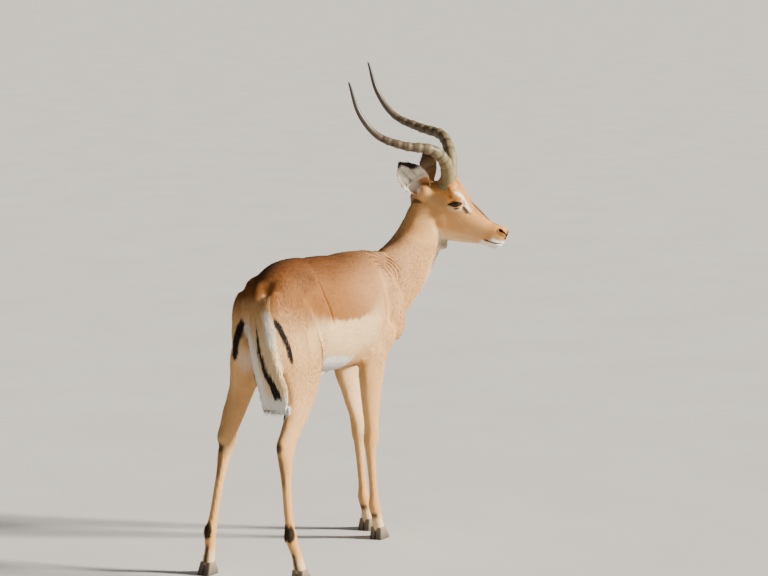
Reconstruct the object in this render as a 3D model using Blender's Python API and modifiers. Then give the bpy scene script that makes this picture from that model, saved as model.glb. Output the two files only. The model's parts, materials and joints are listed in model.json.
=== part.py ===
"""A life-size impala ram, standing still with its head turned to its right.

The animal is modelled whole from a few lofted masses, blended by a voxel remesh, and then parted into
named pieces by thin knives. +X is the way the trunk faces, +Y its left, +Z up, in metres. The origin is
on the floor, under the middle of the whole model's box.
"""
import math

import bmesh
import bpy
import numpy as np
from mathutils import Matrix, Vector

# ---------------------------------------------------------------- driving sizes
FLOOR_CENTRE = (0.0714, -0.0656)    # where the box's middle lies in the body's own x and y
GAP = 0.0004                        # parting gap between two neighbouring pieces
VOXEL = 0.0055                      # blending grid of the flesh
SMOOTHING_STEPS = 40                # passes that even out the creases between masses
FLESH_TRIANGLES = 3900              # facets that carry the flesh

POLL = (0.474, -0.080, 1.087)       # top of the skull, where the head's own axes start
HEAD_YAW, HEAD_PITCH, HEAD_ROLL = -63.0, 33.5, 9.0
EYE_RADIUS = 0.0185
EYE_AT = (0.104, 0.0405, -0.001)    # forward, sideways, up in the head's axes

HORN_RINGS = 12                     # ridges on the ringed part
RINGED_SHARE = 0.70                 # share of the horn's length, from its seat, that carries them
RIDGE_HEIGHT = 0.055                # a ridge's height as a share of the radius there
HORN_BASE_RADIUS = 0.0215
HORN_TIP_RADIUS = 0.0030
HORN_FOOT_SWELL = 0.0040            # how much the seat of the horn swells beyond its even taper

HOOF_HEIGHT = 0.036

SIDES = (("right", -1), ("left", 1))

# How far each leg stands from the tables below: height, shift forward, shift outward.
STANCE = {
    "hind_right": ((0.0, 0.0, 0.0),),
    "hind_left": ((0.0, -0.062, -0.011), (0.38, 0.040, -0.018), (0.53, -0.004, 0.005),
                  (0.58, -0.001, 0.005), (0.68, 0.004, -0.019), (0.82, 0.0, 0.0)),
    "fore_right": ((0.0, 0.0, -0.003), (0.32, 0.0, 0.0)),
    "fore_left": ((0.0, 0.087, 0.011), (0.32, 0.098, -0.010), (0.46, 0.102, -0.007),
                  (0.54, 0.082, -0.004), (0.74, 0.0, 0.0)),
}

# ---------------------------------------------------------------- small maths
def unit(vector):
    vector = np.asarray(vector, float)
    return vector / np.linalg.norm(vector)


def catmull_rom(rows, count):
    """A smooth run of rows of numbers through the given ones."""
    rows = np.asarray(rows, float)
    padded = np.vstack([2 * rows[0] - rows[1], rows, 2 * rows[-1] - rows[-2]])
    spans = len(rows) - 1
    place = np.linspace(0, spans, count)
    first = np.minimum(place.astype(int), spans - 1)
    t = (place - first)[:, None]
    p0, p1, p2, p3 = (padded[first + k] for k in range(4))
    return 0.5 * (2 * p1 + (p2 - p0) * t + (2 * p0 - 5 * p1 + 4 * p2 - p3) * t**2
                  + (3 * p1 - p0 - 3 * p2 + p3) * t**3)


def head_axes():
    """The head's forward, left and up directions."""
    yaw, pitch, roll = (math.radians(a) for a in (HEAD_YAW, HEAD_PITCH, HEAD_ROLL))
    level = np.array([math.cos(yaw), math.sin(yaw), 0.0])
    forward = level * math.cos(pitch) - np.array([0, 0, math.sin(pitch)])
    flat_left = np.array([-math.sin(yaw), math.cos(yaw), 0.0])
    flat_up = np.cross(forward, flat_left)
    left = flat_left * math.cos(roll) + flat_up * math.sin(roll)
    return forward, left, np.cross(forward, left)


FORWARD, LEFT, UP = head_axes()


def from_head(points):
    """Head coordinates (forward, left, up) to the body's."""
    points = np.atleast_2d(points)
    return np.array(POLL) + points @ np.array([FORWARD, LEFT, UP])


# ---------------------------------------------------------------- mesh makers
FLESH = bpy.data.collections.new("flesh_masses")
IMPALA = bpy.data.collections.new("impala_antelope")
KNIVES = bpy.data.collections.new("knives")


def add_object(name, mesh, collection):
    thing = bpy.data.objects.new(name, mesh)
    collection.objects.link(thing)
    return thing


def mesh_from(name, points, faces):
    mesh = bpy.data.meshes.new(name)
    mesh.from_pydata([tuple(p) for p in points], [], [tuple(f) for f in faces])
    return mesh


def skin_rings(name, rings, collection=FLESH):
    """A closed mesh over a stack of point rings, each end closed by one face."""
    count, sides = len(rings), len(rings[0])
    faces = [
        (r * sides + k, r * sides + (k + 1) % sides, (r + 1) * sides + (k + 1) % sides, (r + 1) * sides + k)
        for r in range(count - 1) for k in range(sides)
    ]
    faces.append(tuple(reversed(range(sides))))
    faces.append(tuple((count - 1) * sides + k for k in range(sides)))
    mesh = mesh_from(name, np.vstack(rings), faces)
    shape = bmesh.new()
    shape.from_mesh(mesh)
    bmesh.ops.recalc_face_normals(shape, faces=shape.faces)
    shape.to_mesh(mesh)
    shape.free()
    return add_object(name, mesh, collection)


def oval(centre, side, up, half_width, rise, drop, squareness, sides):
    """One ring: half_width to each side, rise above its centre and drop below it."""
    angle = np.linspace(0, 2 * math.pi, sides, endpoint=False)
    c, s = np.cos(angle), np.sin(angle)
    power = 2.0 / squareness
    across = half_width * np.sign(c) * np.abs(c) ** power
    tall = np.where(s > 0, rise, drop) * np.sign(s) * np.abs(s) ** power
    return np.asarray(centre) + across[:, None] * side + tall[:, None] * up


def level_loft(name, table, axis, squareness=2.0, count=48, sides=28, place=None):
    """A loft whose rings are square to X ("x") or to Z ("z").

    A row is: place along the axis, low limit, high limit, sideways centre, half width, widest level as a
    share of the way from the low limit to the high one.
    """
    rings = []
    for at, low, high, aside, half_width, widest in catmull_rom(table, count):
        middle = low + (high - low) * widest
        if axis == "x":
            centre, up = (at, aside, middle), np.array([0.0, 0, 1])
        else:
            centre, up = (middle, aside, at), np.array([1.0, 0, 0])
        ring = oval(centre, np.array([0.0, 1, 0]), up, max(half_width, 0.002),
                    max(high - middle, 0.002), max(middle - low, 0.002), squareness, sides)
        rings.append(ring if place is None else place(ring))
    return skin_rings(name, rings)


def path_loft(name, table, squareness=2.0, count=40, sides=28):
    """A loft along a bent path. A row is: x, y, z, dorsal x, y, z, half width, rise, drop."""
    rows = catmull_rom(table, count)
    centres = rows[:, :3]
    tangents = np.gradient(centres, axis=0)
    rings = []
    for row, tangent in zip(rows, tangents):
        tangent = unit(tangent)
        up = unit(row[3:6] - (row[3:6] @ tangent) * tangent)
        side = np.cross(up, tangent)
        rings.append(oval(row[:3], side, up, row[6], row[7], row[8], squareness, sides))
    return skin_rings(name, rings)


def mass(name, centre, radii, along=(1, 0, 0)):
    """A muscle or fat mass: an ellipsoid whose first radius lies along the given direction."""
    shape = bmesh.new()
    bmesh.ops.create_uvsphere(shape, u_segments=28, v_segments=18, radius=1.0)
    turn = Vector(along).to_track_quat("X", "Z").to_matrix().to_4x4()
    bmesh.ops.transform(shape, verts=shape.verts,
                        matrix=Matrix.Translation(centre) @ turn @ Matrix.Diagonal((*radii, 1)))
    mesh = bpy.data.meshes.new(name)
    shape.to_mesh(mesh)
    shape.free()
    return add_object(name, mesh, FLESH)


def both_sides(name, centre, radii, along=(1, 0, 0)):
    """A muscle on the right of the middle plane and its mirror image on the left."""
    for side, sign in SIDES:
        mass(f"{name}_{side}", (centre[0], sign * centre[1], centre[2]), radii,
             (along[0], sign * along[1], along[2]))


def head_mass(name, centre, radii, along=(1, 0, 0), mirrored=True):
    """An ellipsoid placed in the head's own axes, on both sides of the head or on its middle line."""
    frame = Matrix((FORWARD, LEFT, UP)).transposed().to_4x4()
    for side, sign in SIDES if mirrored else (("middle", 1),):
        made = mass(f"{name}_{side}", (centre[0], sign * centre[1], centre[2]), radii,
                    (along[0], sign * along[1], along[2]))
        made.data.transform(Matrix.Translation(POLL) @ frame)


# ---------------------------------------------------------------- trunk
# x, belly line, back line, middle, half width, level of the widest place
TRUNK = [
    (-0.390, 0.750, 0.790, 0.0, 0.014, 0.55),
    (-0.376, 0.712, 0.826, 0.0, 0.041, 0.55),
    (-0.345, 0.676, 0.860, 0.0, 0.061, 0.56),
    (-0.295, 0.640, 0.890, 0.0, 0.079, 0.59),
    (-0.235, 0.606, 0.909, 0.0, 0.091, 0.62),
    (-0.160, 0.576, 0.913, 0.0, 0.099, 0.58),
    (-0.080, 0.560, 0.903, 0.0, 0.110, 0.52),
    (0.010, 0.553, 0.899, 0.0, 0.118, 0.49),
    (0.100, 0.551, 0.902, 0.0, 0.116, 0.47),
    (0.180, 0.556, 0.899, 0.0, 0.102, 0.45),
    (0.250, 0.568, 0.888, 0.0, 0.084, 0.44),
    (0.310, 0.590, 0.866, 0.0, 0.066, 0.42),
    (0.354, 0.628, 0.830, 0.0, 0.046, 0.42),
    (0.382, 0.680, 0.780, 0.0, 0.021, 0.45),
]

# x, y, z, direction of the nape, half width, depth to the nape, depth to the throat
NECK = [
    (0.225, 0.000, 0.735, -0.55, 0.00, 0.83, 0.078, 0.128, 0.128),
    (0.315, -0.008, 0.772, -0.60, 0.02, 0.80, 0.078, 0.114, 0.120),
    (0.392, -0.026, 0.828, -0.67, 0.05, 0.74, 0.070, 0.096, 0.110),
    (0.438, -0.044, 0.888, -0.69, 0.09, 0.72, 0.060, 0.083, 0.096),
    (0.463, -0.062, 0.945, -0.67, 0.14, 0.73, 0.053, 0.076, 0.084),
    (0.482, -0.082, 0.997, -0.52, 0.25, 0.80, 0.049, 0.071, 0.074),
    (0.500, -0.108, 1.022, -0.30, 0.15, 0.90, 0.044, 0.056, 0.062),
]


def build_trunk():
    level_loft("barrel", TRUNK, "x", squareness=2.15, count=70, sides=40)
    path_loft("neck_mass", NECK, squareness=2.1, count=44, sides=32)
    both_sides("withers", (0.225, 0.020, 0.845), (0.105, 0.028, 0.050), (1, 0, 0.02))
    both_sides("shoulder_blade", (0.232, 0.066, 0.735), (0.130, 0.032, 0.066), (0.42, 0.10, -0.90))
    both_sides("shoulder_point", (0.268, 0.043, 0.664), (0.056, 0.031, 0.052), (0.5, 0.0, -0.86))
    both_sides("upper_arm", (0.202, 0.072, 0.630), (0.086, 0.031, 0.048), (-0.76, 0.0, -0.62))
    both_sides("breast", (0.306, 0.017, 0.664), (0.060, 0.029, 0.048), (0.3, 0.0, -0.95))
    both_sides("rump", (-0.255, 0.041, 0.824), (0.104, 0.039, 0.051), (1, 0.0, -0.10))
    both_sides("hip_bone", (-0.200, 0.058, 0.848), (0.052, 0.028, 0.028), (1, 0.3, -0.2))
    both_sides("buttock", (-0.356, 0.051, 0.752), (0.052, 0.035, 0.086), (1, 0.1, 0))
    mass("loin", (-0.09, 0, 0.872), (0.20, 0.058, 0.035))
    mass("sternum", (0.20, 0, 0.585), (0.16, 0.042, 0.040), (1, 0, 0.10))
    mass("sheath", (-0.085, 0, 0.560), (0.100, 0.020, 0.022), (1, 0, -0.04))


# ---------------------------------------------------------------- legs
# height, back edge, front edge, distance out from the middle, half width, level of the widest place
HIND_LEG = [
    (0.872, -0.300, -0.225, 0.042, 0.017, 0.5),
    (0.830, -0.354, -0.188, 0.050, 0.032, 0.5),
    (0.760, -0.404, -0.163, 0.059, 0.044, 0.5),
    (0.690, -0.415, -0.152, 0.066, 0.047, 0.5),
    (0.630, -0.394, -0.152, 0.077, 0.042, 0.5),
    (0.580, -0.362, -0.176, 0.088, 0.033, 0.5),
    (0.530, -0.353, -0.222, 0.102, 0.0260, 0.55),
    (0.480, -0.387, -0.278, 0.112, 0.0255, 0.6),
    (0.440, -0.416, -0.325, 0.117, 0.0235, 0.6),
    (0.408, -0.443, -0.359, 0.121, 0.0215, 0.6),
    (0.380, -0.444, -0.377, 0.124, 0.0205, 0.6),
    (0.350, -0.438, -0.389, 0.126, 0.0185, 0.5),
    (0.300, -0.431, -0.394, 0.128, 0.0140, 0.5),
    (0.230, -0.427, -0.394, 0.131, 0.0125, 0.5),
    (0.170, -0.423, -0.389, 0.135, 0.0130, 0.5),
    (0.138, -0.427, -0.384, 0.138, 0.0165, 0.5),
    (0.112, -0.418, -0.377, 0.141, 0.0160, 0.5),
    (0.080, -0.403, -0.365, 0.144, 0.0150, 0.5),
    (0.050, -0.397, -0.358, 0.147, 0.0175, 0.5),
    (0.025, -0.392, -0.354, 0.149, 0.0185, 0.5),
]

FORE_LEG = [
    (0.700, 0.165, 0.250, 0.060, 0.018, 0.5),
    (0.650, 0.134, 0.251, 0.064, 0.031, 0.5),
    (0.600, 0.106, 0.224, 0.069, 0.034, 0.5),
    (0.555, 0.084, 0.199, 0.073, 0.0325, 0.5),
    (0.510, 0.084, 0.185, 0.075, 0.0290, 0.5),
    (0.470, 0.091, 0.179, 0.073, 0.0245, 0.5),
    (0.420, 0.108, 0.181, 0.068, 0.0210, 0.5),
    (0.380, 0.124, 0.183, 0.063, 0.0195, 0.5),
    (0.350, 0.131, 0.188, 0.060, 0.0210, 0.5),
    (0.318, 0.133, 0.190, 0.057, 0.0205, 0.5),
    (0.285, 0.144, 0.185, 0.055, 0.0155, 0.5),
    (0.220, 0.161, 0.193, 0.052, 0.0125, 0.5),
    (0.150, 0.176, 0.210, 0.049, 0.0130, 0.5),
    (0.112, 0.178, 0.222, 0.047, 0.0165, 0.5),
    (0.090, 0.187, 0.231, 0.046, 0.0158, 0.5),
    (0.068, 0.199, 0.239, 0.045, 0.0150, 0.5),
    (0.045, 0.207, 0.246, 0.045, 0.0175, 0.5),
    (0.022, 0.212, 0.251, 0.045, 0.0185, 0.5),
]


def stance(leg, sign):
    """Moves a leg's points so that its foot stands where the pose puts it and its top stays put."""
    heights, forward, outward = zip(*STANCE[leg])

    def place(points):
        moved = points.copy()
        moved[:, 0] += np.interp(points[:, 2], heights, forward)
        moved[:, 1] = sign * (moved[:, 1] + np.interp(points[:, 2], heights, outward))
        return moved

    return place


def build_legs():
    for side, sign in SIDES:
        for end, table in (("hind", HIND_LEG), ("fore", FORE_LEG)):
            leg = f"{end}_{side}"
            level_loft(leg, table, "z", squareness=2.1, count=110, sides=24, place=stance(leg, sign))


# ---------------------------------------------------------------- head
# forward, underline, topline, half width, level of the widest place
HEAD = [
    (-0.030, -0.070, -0.032, 0.014, 0.5),
    (-0.014, -0.090, -0.006, 0.038, 0.55),
    (0.015, -0.112, 0.014, 0.049, 0.62),
    (0.050, -0.131, 0.040, 0.053, 0.66),
    (0.085, -0.138, 0.050, 0.053, 0.68),
    (0.120, -0.133, 0.034, 0.049, 0.66),
    (0.155, -0.120, 0.017, 0.041, 0.62),
    (0.190, -0.102, 0.008, 0.0345, 0.56),
    (0.225, -0.082, 0.004, 0.0305, 0.50),
    (0.252, -0.072, 0.009, 0.0300, 0.48),
    (0.274, -0.066, 0.008, 0.0280, 0.48),
    (0.288, -0.056, 0.000, 0.0210, 0.50),
    (0.296, -0.040, -0.014, 0.0080, 0.50),
]


def build_head():
    rows = [(at, low, high, 0.0, wide, widest) for at, low, high, wide, widest in HEAD]
    level_loft("skull", rows, "x", squareness=2.25, count=60, sides=36, place=from_head)
    head_mass("brow", (0.092, 0.041, 0.014), (0.036, 0.018, 0.022), (1, -0.20, -0.42))
    head_mass("cheek", (0.078, 0.036, -0.070), (0.058, 0.020, 0.048), (1, -0.12, 0.25))
    head_mass("eye_bed", (0.104, 0.036, -0.006), (0.030, 0.017, 0.024), (1, -0.3, -0.3))
    head_mass("horn_seat", (0.046, 0.024, 0.034), (0.030, 0.024, 0.026), (1, 0, 0.2))
    head_mass("ear_base", (0.003, 0.044, -0.023), (0.026, 0.017, 0.026), (-0.8, 0.5, 0.3))
    head_mass("throat_patch", (0.128, 0.0, -0.146), (0.016, 0.026, 0.030), (0.1, 0, -1), mirrored=False)
    head_mass("jaw_hinge", (0.045, 0.038, -0.085), (0.037, 0.019, 0.042), (1, 0, 0.4))
    head_mass("upper_lip", (0.262, 0.016, -0.036), (0.030, 0.0165, 0.018), (1, -0.18, 0))
    head_mass("nostril_wing", (0.276, 0.013, -0.002), (0.018, 0.011, 0.013), (1, -0.3, -0.25))
    head_mass("chin", (0.268, 0.0, -0.056), (0.024, 0.019, 0.012), (1, 0, 0.10), mirrored=False)
    head_mass("nose_bridge", (0.175, 0.0, 0.0), (0.090, 0.020, 0.016), (1, 0, -0.20), mirrored=False)


# ---------------------------------------------------------------- blending
def relax(mesh, weight_of, steps):
    """Evens out the creases between the masses; weight_of gives each point's share of the smoothing."""
    count = len(mesh.vertices)
    points = np.empty(count * 3)
    mesh.vertices.foreach_get("co", points)
    points = points.reshape(-1, 3)
    edges = np.empty(len(mesh.edges) * 2, int)
    mesh.edges.foreach_get("vertices", edges)
    a, b = edges.reshape(-1, 2).T
    both, other = np.concatenate([a, b]), np.concatenate([b, a])
    degree = np.bincount(both, minlength=count)[:, None]
    weight = weight_of(points)[:, None]
    for _ in range(steps):
        for pull in (0.55, -0.565):
            mean = np.stack([np.bincount(both, points[other, k], count) for k in range(3)], 1) / degree
            points = points + pull * weight * (mean - points)
    mesh.vertices.foreach_set("co", points.ravel())
    mesh.update()


def smooth_share(points):
    """Full smoothing on the trunk and its joins with the legs, little on slim legs and on the face."""
    legs = np.clip((points[:, 2] - 0.36) / 0.14, 0.12, 1.0)
    local = (points - np.array(POLL)) @ np.array([FORWARD, LEFT, UP]).T
    face = np.clip((local[:, 0] - 0.02) / 0.08, 0, 1) * (points[:, 2] > 0.82)
    return legs * (1 - 0.75 * face)


def applied(thing, name, collection):
    """A new object holding the evaluated mesh of another, which is removed."""
    bpy.context.view_layer.update()
    graph = bpy.context.evaluated_depsgraph_get()
    mesh = bpy.data.meshes.new_from_object(thing.evaluated_get(graph))
    mesh.transform(thing.matrix_world)
    bpy.data.objects.remove(thing)
    return add_object(name, mesh, collection)


def joined(things, name, collection):
    """All the given objects' meshes in one new object, still as separate shells."""
    shape = bmesh.new()
    for thing in things:
        shape.from_mesh(thing.data)
    for thing in things:
        bpy.data.objects.remove(thing)
    mesh = bpy.data.meshes.new(name)
    shape.to_mesh(mesh)
    shape.free()
    return add_object(name, mesh, collection)


def blended_flesh():
    whole = joined(list(FLESH.objects), "masses", FLESH)
    remesh = whole.modifiers.new("blend", "REMESH")
    remesh.mode = "VOXEL"
    remesh.voxel_size = VOXEL
    whole = applied(whole, "flesh_fine", FLESH)
    relax(whole.data, smooth_share, SMOOTHING_STEPS)
    thin = whole.modifiers.new("facets", "DECIMATE")
    thin.ratio = FLESH_TRIANGLES / (2 * len(whole.data.polygons))
    thin.use_collapse_triangulate = True
    return applied(whole, "flesh", FLESH)


# ---------------------------------------------------------------- horns, ears, eyes, hooves, tail
# forward, out, up in the head's axes, from the seat to the tip
HORN_PATH = [
    (0.046, 0.021, 0.018),
    (0.039, 0.027, 0.047),
    (0.004, 0.057, 0.095),
    (-0.050, 0.108, 0.117),
    (-0.126, 0.143, 0.089),
    (-0.212, 0.158, 0.073),
    (-0.297, 0.168, 0.103),
    (-0.372, 0.172, 0.166),
]


def horn_radius(share):
    """Thick and ringed low down, slim and smooth towards the tip."""
    taper = HORN_TIP_RADIUS + (HORN_BASE_RADIUS - HORN_TIP_RADIUS) * (1 - share) ** 0.82
    taper += HORN_FOOT_SWELL * (1 - share) ** 12
    ringed = np.clip((RINGED_SHARE - share) / 0.12, 0, 1) * np.clip(share / 0.06, 0, 1)
    wave = np.cos(2 * math.pi * HORN_RINGS * share / RINGED_SHARE)
    return taper * (1 + RIDGE_HEIGHT * ringed * wave)


def build_horn(side, sign):
    rows = round(2 * HORN_RINGS / RINGED_SHARE) + 1
    fine = catmull_rom(HORN_PATH, 400) * np.array([1, sign, 1])
    length = np.append(0, np.cumsum(np.linalg.norm(np.diff(fine, axis=0), axis=1)))
    even = np.linspace(0, length[-1], rows)
    path = from_head(np.column_stack([np.interp(even, length, fine[:, k]) for k in range(3)]))
    tangents = np.gradient(path, axis=0)
    rings = []
    for k, (centre, tangent) in enumerate(zip(path, tangents)):
        tangent = unit(tangent)
        front = unit(FORWARD - (FORWARD @ tangent) * tangent)
        radius = float(horn_radius(k / (rows - 1)))
        rings.append(oval(centre, np.cross(front, tangent), front, 0.92 * radius, radius, radius, 2.0, 9))
    return skin_rings(f"horn_{side}", rings, IMPALA)


EAR_ROOT = (0.002, 0.050, -0.020)
EAR_TIP = {"right": (-0.110, 0.113, 0.027), "left": (-0.070, 0.142, 0.046)}
EAR_FACE = {"right": (0.16, 0.96, 0.10), "left": (0.55, 0.80, 0.20)}      # the way the hollow opens
EAR_HALF_WIDTH = 0.040
EAR_TIP_HALF_WIDTH = 0.0025
EAR_THICKNESS = 0.0042


def build_ear(side, sign):
    """A cupped leaf, rolled to a tube at its root, with a solidified wall."""
    mirror = np.array([1, sign, 1])
    root, tip, face = (np.array(v) * mirror for v in (EAR_ROOT, EAR_TIP[side], EAR_FACE[side]))
    axis = tip - root
    length = np.linalg.norm(axis)
    axis = axis / length
    face = unit(face - (face @ axis) * axis)
    across = np.cross(axis, face)
    rows, columns = 9, 7
    points = []
    for r in range(rows):
        s = r / (rows - 1)
        width = EAR_HALF_WIDTH * (0.42 + 0.58 * math.sin(math.pi * min(1, 0.10 + 0.90 * s))) * (1 - s ** 7)
        width += EAR_TIP_HALF_WIDTH
        roll = math.radians(132 - 78 * min(1, s / 0.55))
        bow = width / math.sin(min(roll, math.pi / 2))
        hollow = bow * (0.51 if s > 0.3 else 0.69)
        for c in range(columns):
            turn = roll * (2 * c / (columns - 1) - 1)
            points.append(root + axis * length * s + across * bow * math.sin(turn)
                          - face * hollow * (math.cos(turn) - math.cos(roll)))
    points = from_head(np.array(points))
    faces = [(r * columns + c, r * columns + c + 1, (r + 1) * columns + c + 1, (r + 1) * columns + c)
             for r in range(rows - 1) for c in range(columns - 1)]
    if sign > 0:
        faces = [tuple(reversed(f)) for f in faces]
    thing = add_object(f"ear_{side}_leaf", mesh_from(f"ear_{side}", points, faces), IMPALA)
    wall = thing.modifiers.new("wall", "SOLIDIFY")
    wall.thickness = EAR_THICKNESS
    wall.offset = 0.0
    return applied(thing, f"ear_{side}", IMPALA)


def build_eye(side, sign, extra=0.0, collection=IMPALA):
    shape = bmesh.new()
    bmesh.ops.create_uvsphere(shape, u_segments=14, v_segments=8, radius=EYE_RADIUS + extra)
    mesh = bpy.data.meshes.new(f"eye_{side}")
    shape.to_mesh(mesh)
    shape.free()
    centre = from_head((EYE_AT[0], sign * EYE_AT[1], EYE_AT[2]))[0]
    outwards = Vector(sign * LEFT).to_track_quat("Z", "Y").to_matrix().to_4x4()
    mesh.transform(Matrix.Translation(centre) @ outwards)
    return add_object(f"eye_{side}" + ("_bed" if extra else ""), mesh, collection)


# one claw of a cloven hoof
CLAW_LENGTH = 0.060
CLAW_HALF_WIDTH = 0.0100
CLAW_SPLIT = 0.0011                 # half of the cleft between the two claws


def build_claws(leg, sign):
    """The two claws of one cloven hoof, each with a flat sole on the floor."""
    table = HIND_LEG if leg.startswith("hind") else FORE_LEG
    place = stance(leg, sign)
    sole = table[-1]
    heel = sole[1] - 0.004
    rows = (  # height, heel edge, toe edge, half width
        (0.000, 0.000, CLAW_LENGTH, 1.00),
        (0.012, 0.001, CLAW_LENGTH - 0.004, 1.00),
        (HOOF_HEIGHT - 0.010, 0.003, CLAW_LENGTH - 0.016, 0.93),
        (HOOF_HEIGHT, 0.004, CLAW_LENGTH - 0.022, 0.88),
    )
    for claw, inner in (("inner", -1), ("outer", 1)):
        rings = []
        for height, back, front, wide in rows:
            half = CLAW_HALF_WIDTH * wide
            length = front - back
            outline = [(0.0, -0.62), (0.10, -1.0), (0.55, -1.0), (0.86, -0.66), (1.0, -0.10),
                       (0.97, 0.55), (0.80, 0.92), (0.35, 1.0), (0.06, 0.85)]
            ring = []
            for along, across in outline:
                y = sole[3] + inner * (CLAW_SPLIT + half + across * half)
                ring.append((heel + back + along * length, y, height))
            ring = place(np.array(ring))
            ring[:, 2] = [height] * len(ring)
            rings.append(ring)
        skin_rings(f"hoof_{leg}_{claw}", rings, IMPALA)


# x, y, z, dorsal direction, half width, thickness above and below
TAIL = [
    (-0.346, 0.000, 0.855, -0.70, 0.0, 0.70, 0.016, 0.013, 0.013),
    (-0.378, -0.004, 0.836, -0.90, 0.0, 0.45, 0.021, 0.012, 0.012),
    (-0.400, -0.014, 0.784, -1.00, 0.0, 0.10, 0.027, 0.011, 0.011),
    (-0.409, -0.036, 0.712, -1.00, 0.0, 0.00, 0.038, 0.012, 0.012),
    (-0.404, -0.052, 0.636, -1.00, 0.0, -0.08, 0.045, 0.012, 0.012),
    (-0.388, -0.065, 0.562, -1.00, 0.0, -0.14, 0.052, 0.012, 0.012),
    (-0.376, -0.064, 0.498, -1.00, 0.0, -0.14, 0.040, 0.009, 0.009),
]


def build_tail():
    made = path_loft("tail", TAIL, squareness=2.0, count=13, sides=10)
    FLESH.objects.unlink(made)
    IMPALA.objects.link(made)
    return made


SCROTUM_AT = (-0.268, 0, 0.548)
SCROTUM_RADII = (0.028, 0.030, 0.066)


def build_scrotum():
    shape = bmesh.new()
    bmesh.ops.create_uvsphere(shape, u_segments=12, v_segments=8, radius=1.0)
    for vertex in shape.verts:
        if vertex.co.z > 0.2:
            vertex.co.x *= 0.72
            vertex.co.y *= 0.72
    size = Matrix.Diagonal((*SCROTUM_RADII, 1))
    bmesh.ops.transform(shape, verts=shape.verts, matrix=Matrix.Translation(SCROTUM_AT) @ size)
    mesh = bpy.data.meshes.new("scrotum")
    shape.to_mesh(mesh)
    shape.free()
    return add_object("scrotum", mesh, IMPALA)


# ---------------------------------------------------------------- parting
# For each leg from the top: height, tilt of the plane, reach of the knife.
LEG_CUTS = {
    "hind": ((0.600, 0.10, 0.155), (0.345, 0.0, 0.075), (0.150, 0.0, 0.050)),
    "fore": ((0.545, 0.0, 0.110), (0.300, 0.0, 0.050), (0.130, 0.0, 0.045)),
}
LEG_MIDDLES = {"hind": (0.475, 0.25, 0.09), "fore": (0.42, 0.21, 0.085)}
WIDEST_CUT = 0.085                  # sideways reach of a leg's knife, short of the other leg


def knife(name, centre, normal, reach_one, reach_two, half_thickness=GAP / 2):
    """A plate that parts the flesh: square to normal, reach_one to the sides and reach_two across."""
    sideways = Vector((0, 1, 0))
    normal = Vector(normal).normalized()
    first = (sideways - normal * sideways.dot(normal)).normalized()
    second = normal.cross(first)
    turn = Matrix((first, second, normal)).transposed().to_4x4()
    shape = bmesh.new()
    bmesh.ops.create_cube(shape, size=2.0)
    bmesh.ops.transform(shape, verts=shape.verts, matrix=Matrix.Translation(centre) @ turn
                        @ Matrix.Diagonal((reach_one, reach_two, half_thickness, 1)))
    mesh = bpy.data.meshes.new(name)
    shape.to_mesh(mesh)
    shape.free()
    made = add_object(name, mesh, KNIVES)
    made.hide_render = True
    made.display_type = "WIRE"
    return made


def boolean(thing, tool, operation="DIFFERENCE"):
    cut = thing.modifiers.new("cut", "BOOLEAN")
    cut.operation = operation
    cut.object = tool
    return cut


def leg_point(leg, sign, height):
    """The middle of a leg at a height, in the pose."""
    table = np.array(HIND_LEG if leg.startswith("hind") else FORE_LEG)[::-1]
    low, high, aside = (np.interp(height, table[:, 0], table[:, k]) for k in (1, 2, 3))
    return stance(leg, sign)(np.array([[(low + high) / 2, aside, height]]))[0]


def part_flesh(flesh):
    """Cuts the whole flesh into its named pieces and returns a place inside each, by name."""
    places = {}
    knives = [
        knife("knife_neck", (0.352, -0.002, 0.800), (0.72, -0.06, 0.69), 0.13, 0.19),
        knife("knife_throat", from_head((0.060, 0, -0.100))[0], 0.41 * FORWARD + 0.91 * UP, 0.140, 0.140),
    ]
    for side, sign in SIDES:
        for end, levels in LEG_CUTS.items():
            leg = f"{end}_{side}"
            for number, (height, tilt, reach) in enumerate(levels):
                x, y, _ = leg_point(leg, sign, height)
                aside = min(reach, WIDEST_CUT)
                knives.append(knife(f"knife_{leg}_{number}", (x, y, height), (tilt, 0, 1), aside, reach))
            x, y, _ = leg_point(leg, sign, HOOF_HEIGHT)
            below = 0.02
            half = (HOOF_HEIGHT + GAP + below) / 2
            knives.append(knife(f"knife_{leg}_sole", (x, y, half - below), (0, 0, 1), 0.05, 0.09, half))
            for name, height in zip(("upper", "cannon", "pastern"), LEG_MIDDLES[end]):
                places[f"{leg}_{name}"] = leg_point(leg, sign, height)
    for tool in knives:
        boolean(flesh, tool)
    places["trunk"] = (0.0, 0, 0.74)
    places["neck"] = (0.43, -0.03, 0.90)
    places["head"] = tuple(from_head((0.12, 0, -0.05))[0])
    return places


def loose_pieces(thing):
    """Each separate shell of an object's mesh as a mesh of its own."""
    shape = bmesh.new()
    shape.from_mesh(thing.data)
    bmesh.ops.remove_doubles(shape, verts=shape.verts, dist=1e-6)
    shape.verts.ensure_lookup_table()
    left = set(shape.verts)
    pieces = []
    while left:
        stack, shell = [left.pop()], set()
        while stack:
            vertex = stack.pop()
            shell.add(vertex)
            for edge in vertex.link_edges:
                other = edge.other_vert(vertex)
                if other in left:
                    left.discard(other)
                    stack.append(other)
        index = {vertex: k for k, vertex in enumerate(shell)}
        faces = {face for vertex in shell for face in vertex.link_faces}
        points = np.array([vertex.co for vertex in index])
        pieces.append((points, [[index[v] for v in face.verts] for face in faces]))
    shape.free()
    return pieces


def name_pieces(pieces, places):
    """Gives each shell the name of the place nearest its middle."""
    made = {}
    for points, faces in sorted(pieces, key=lambda piece: -len(piece[0])):
        middle = (points.min(0) + points.max(0)) / 2
        name = min((n for n in places if n not in made), key=lambda n: np.linalg.norm(middle - places[n]))
        made[name] = add_object(name, mesh_from(name, points, faces), IMPALA)
        if len(made) == len(places):
            break
    return made


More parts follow.
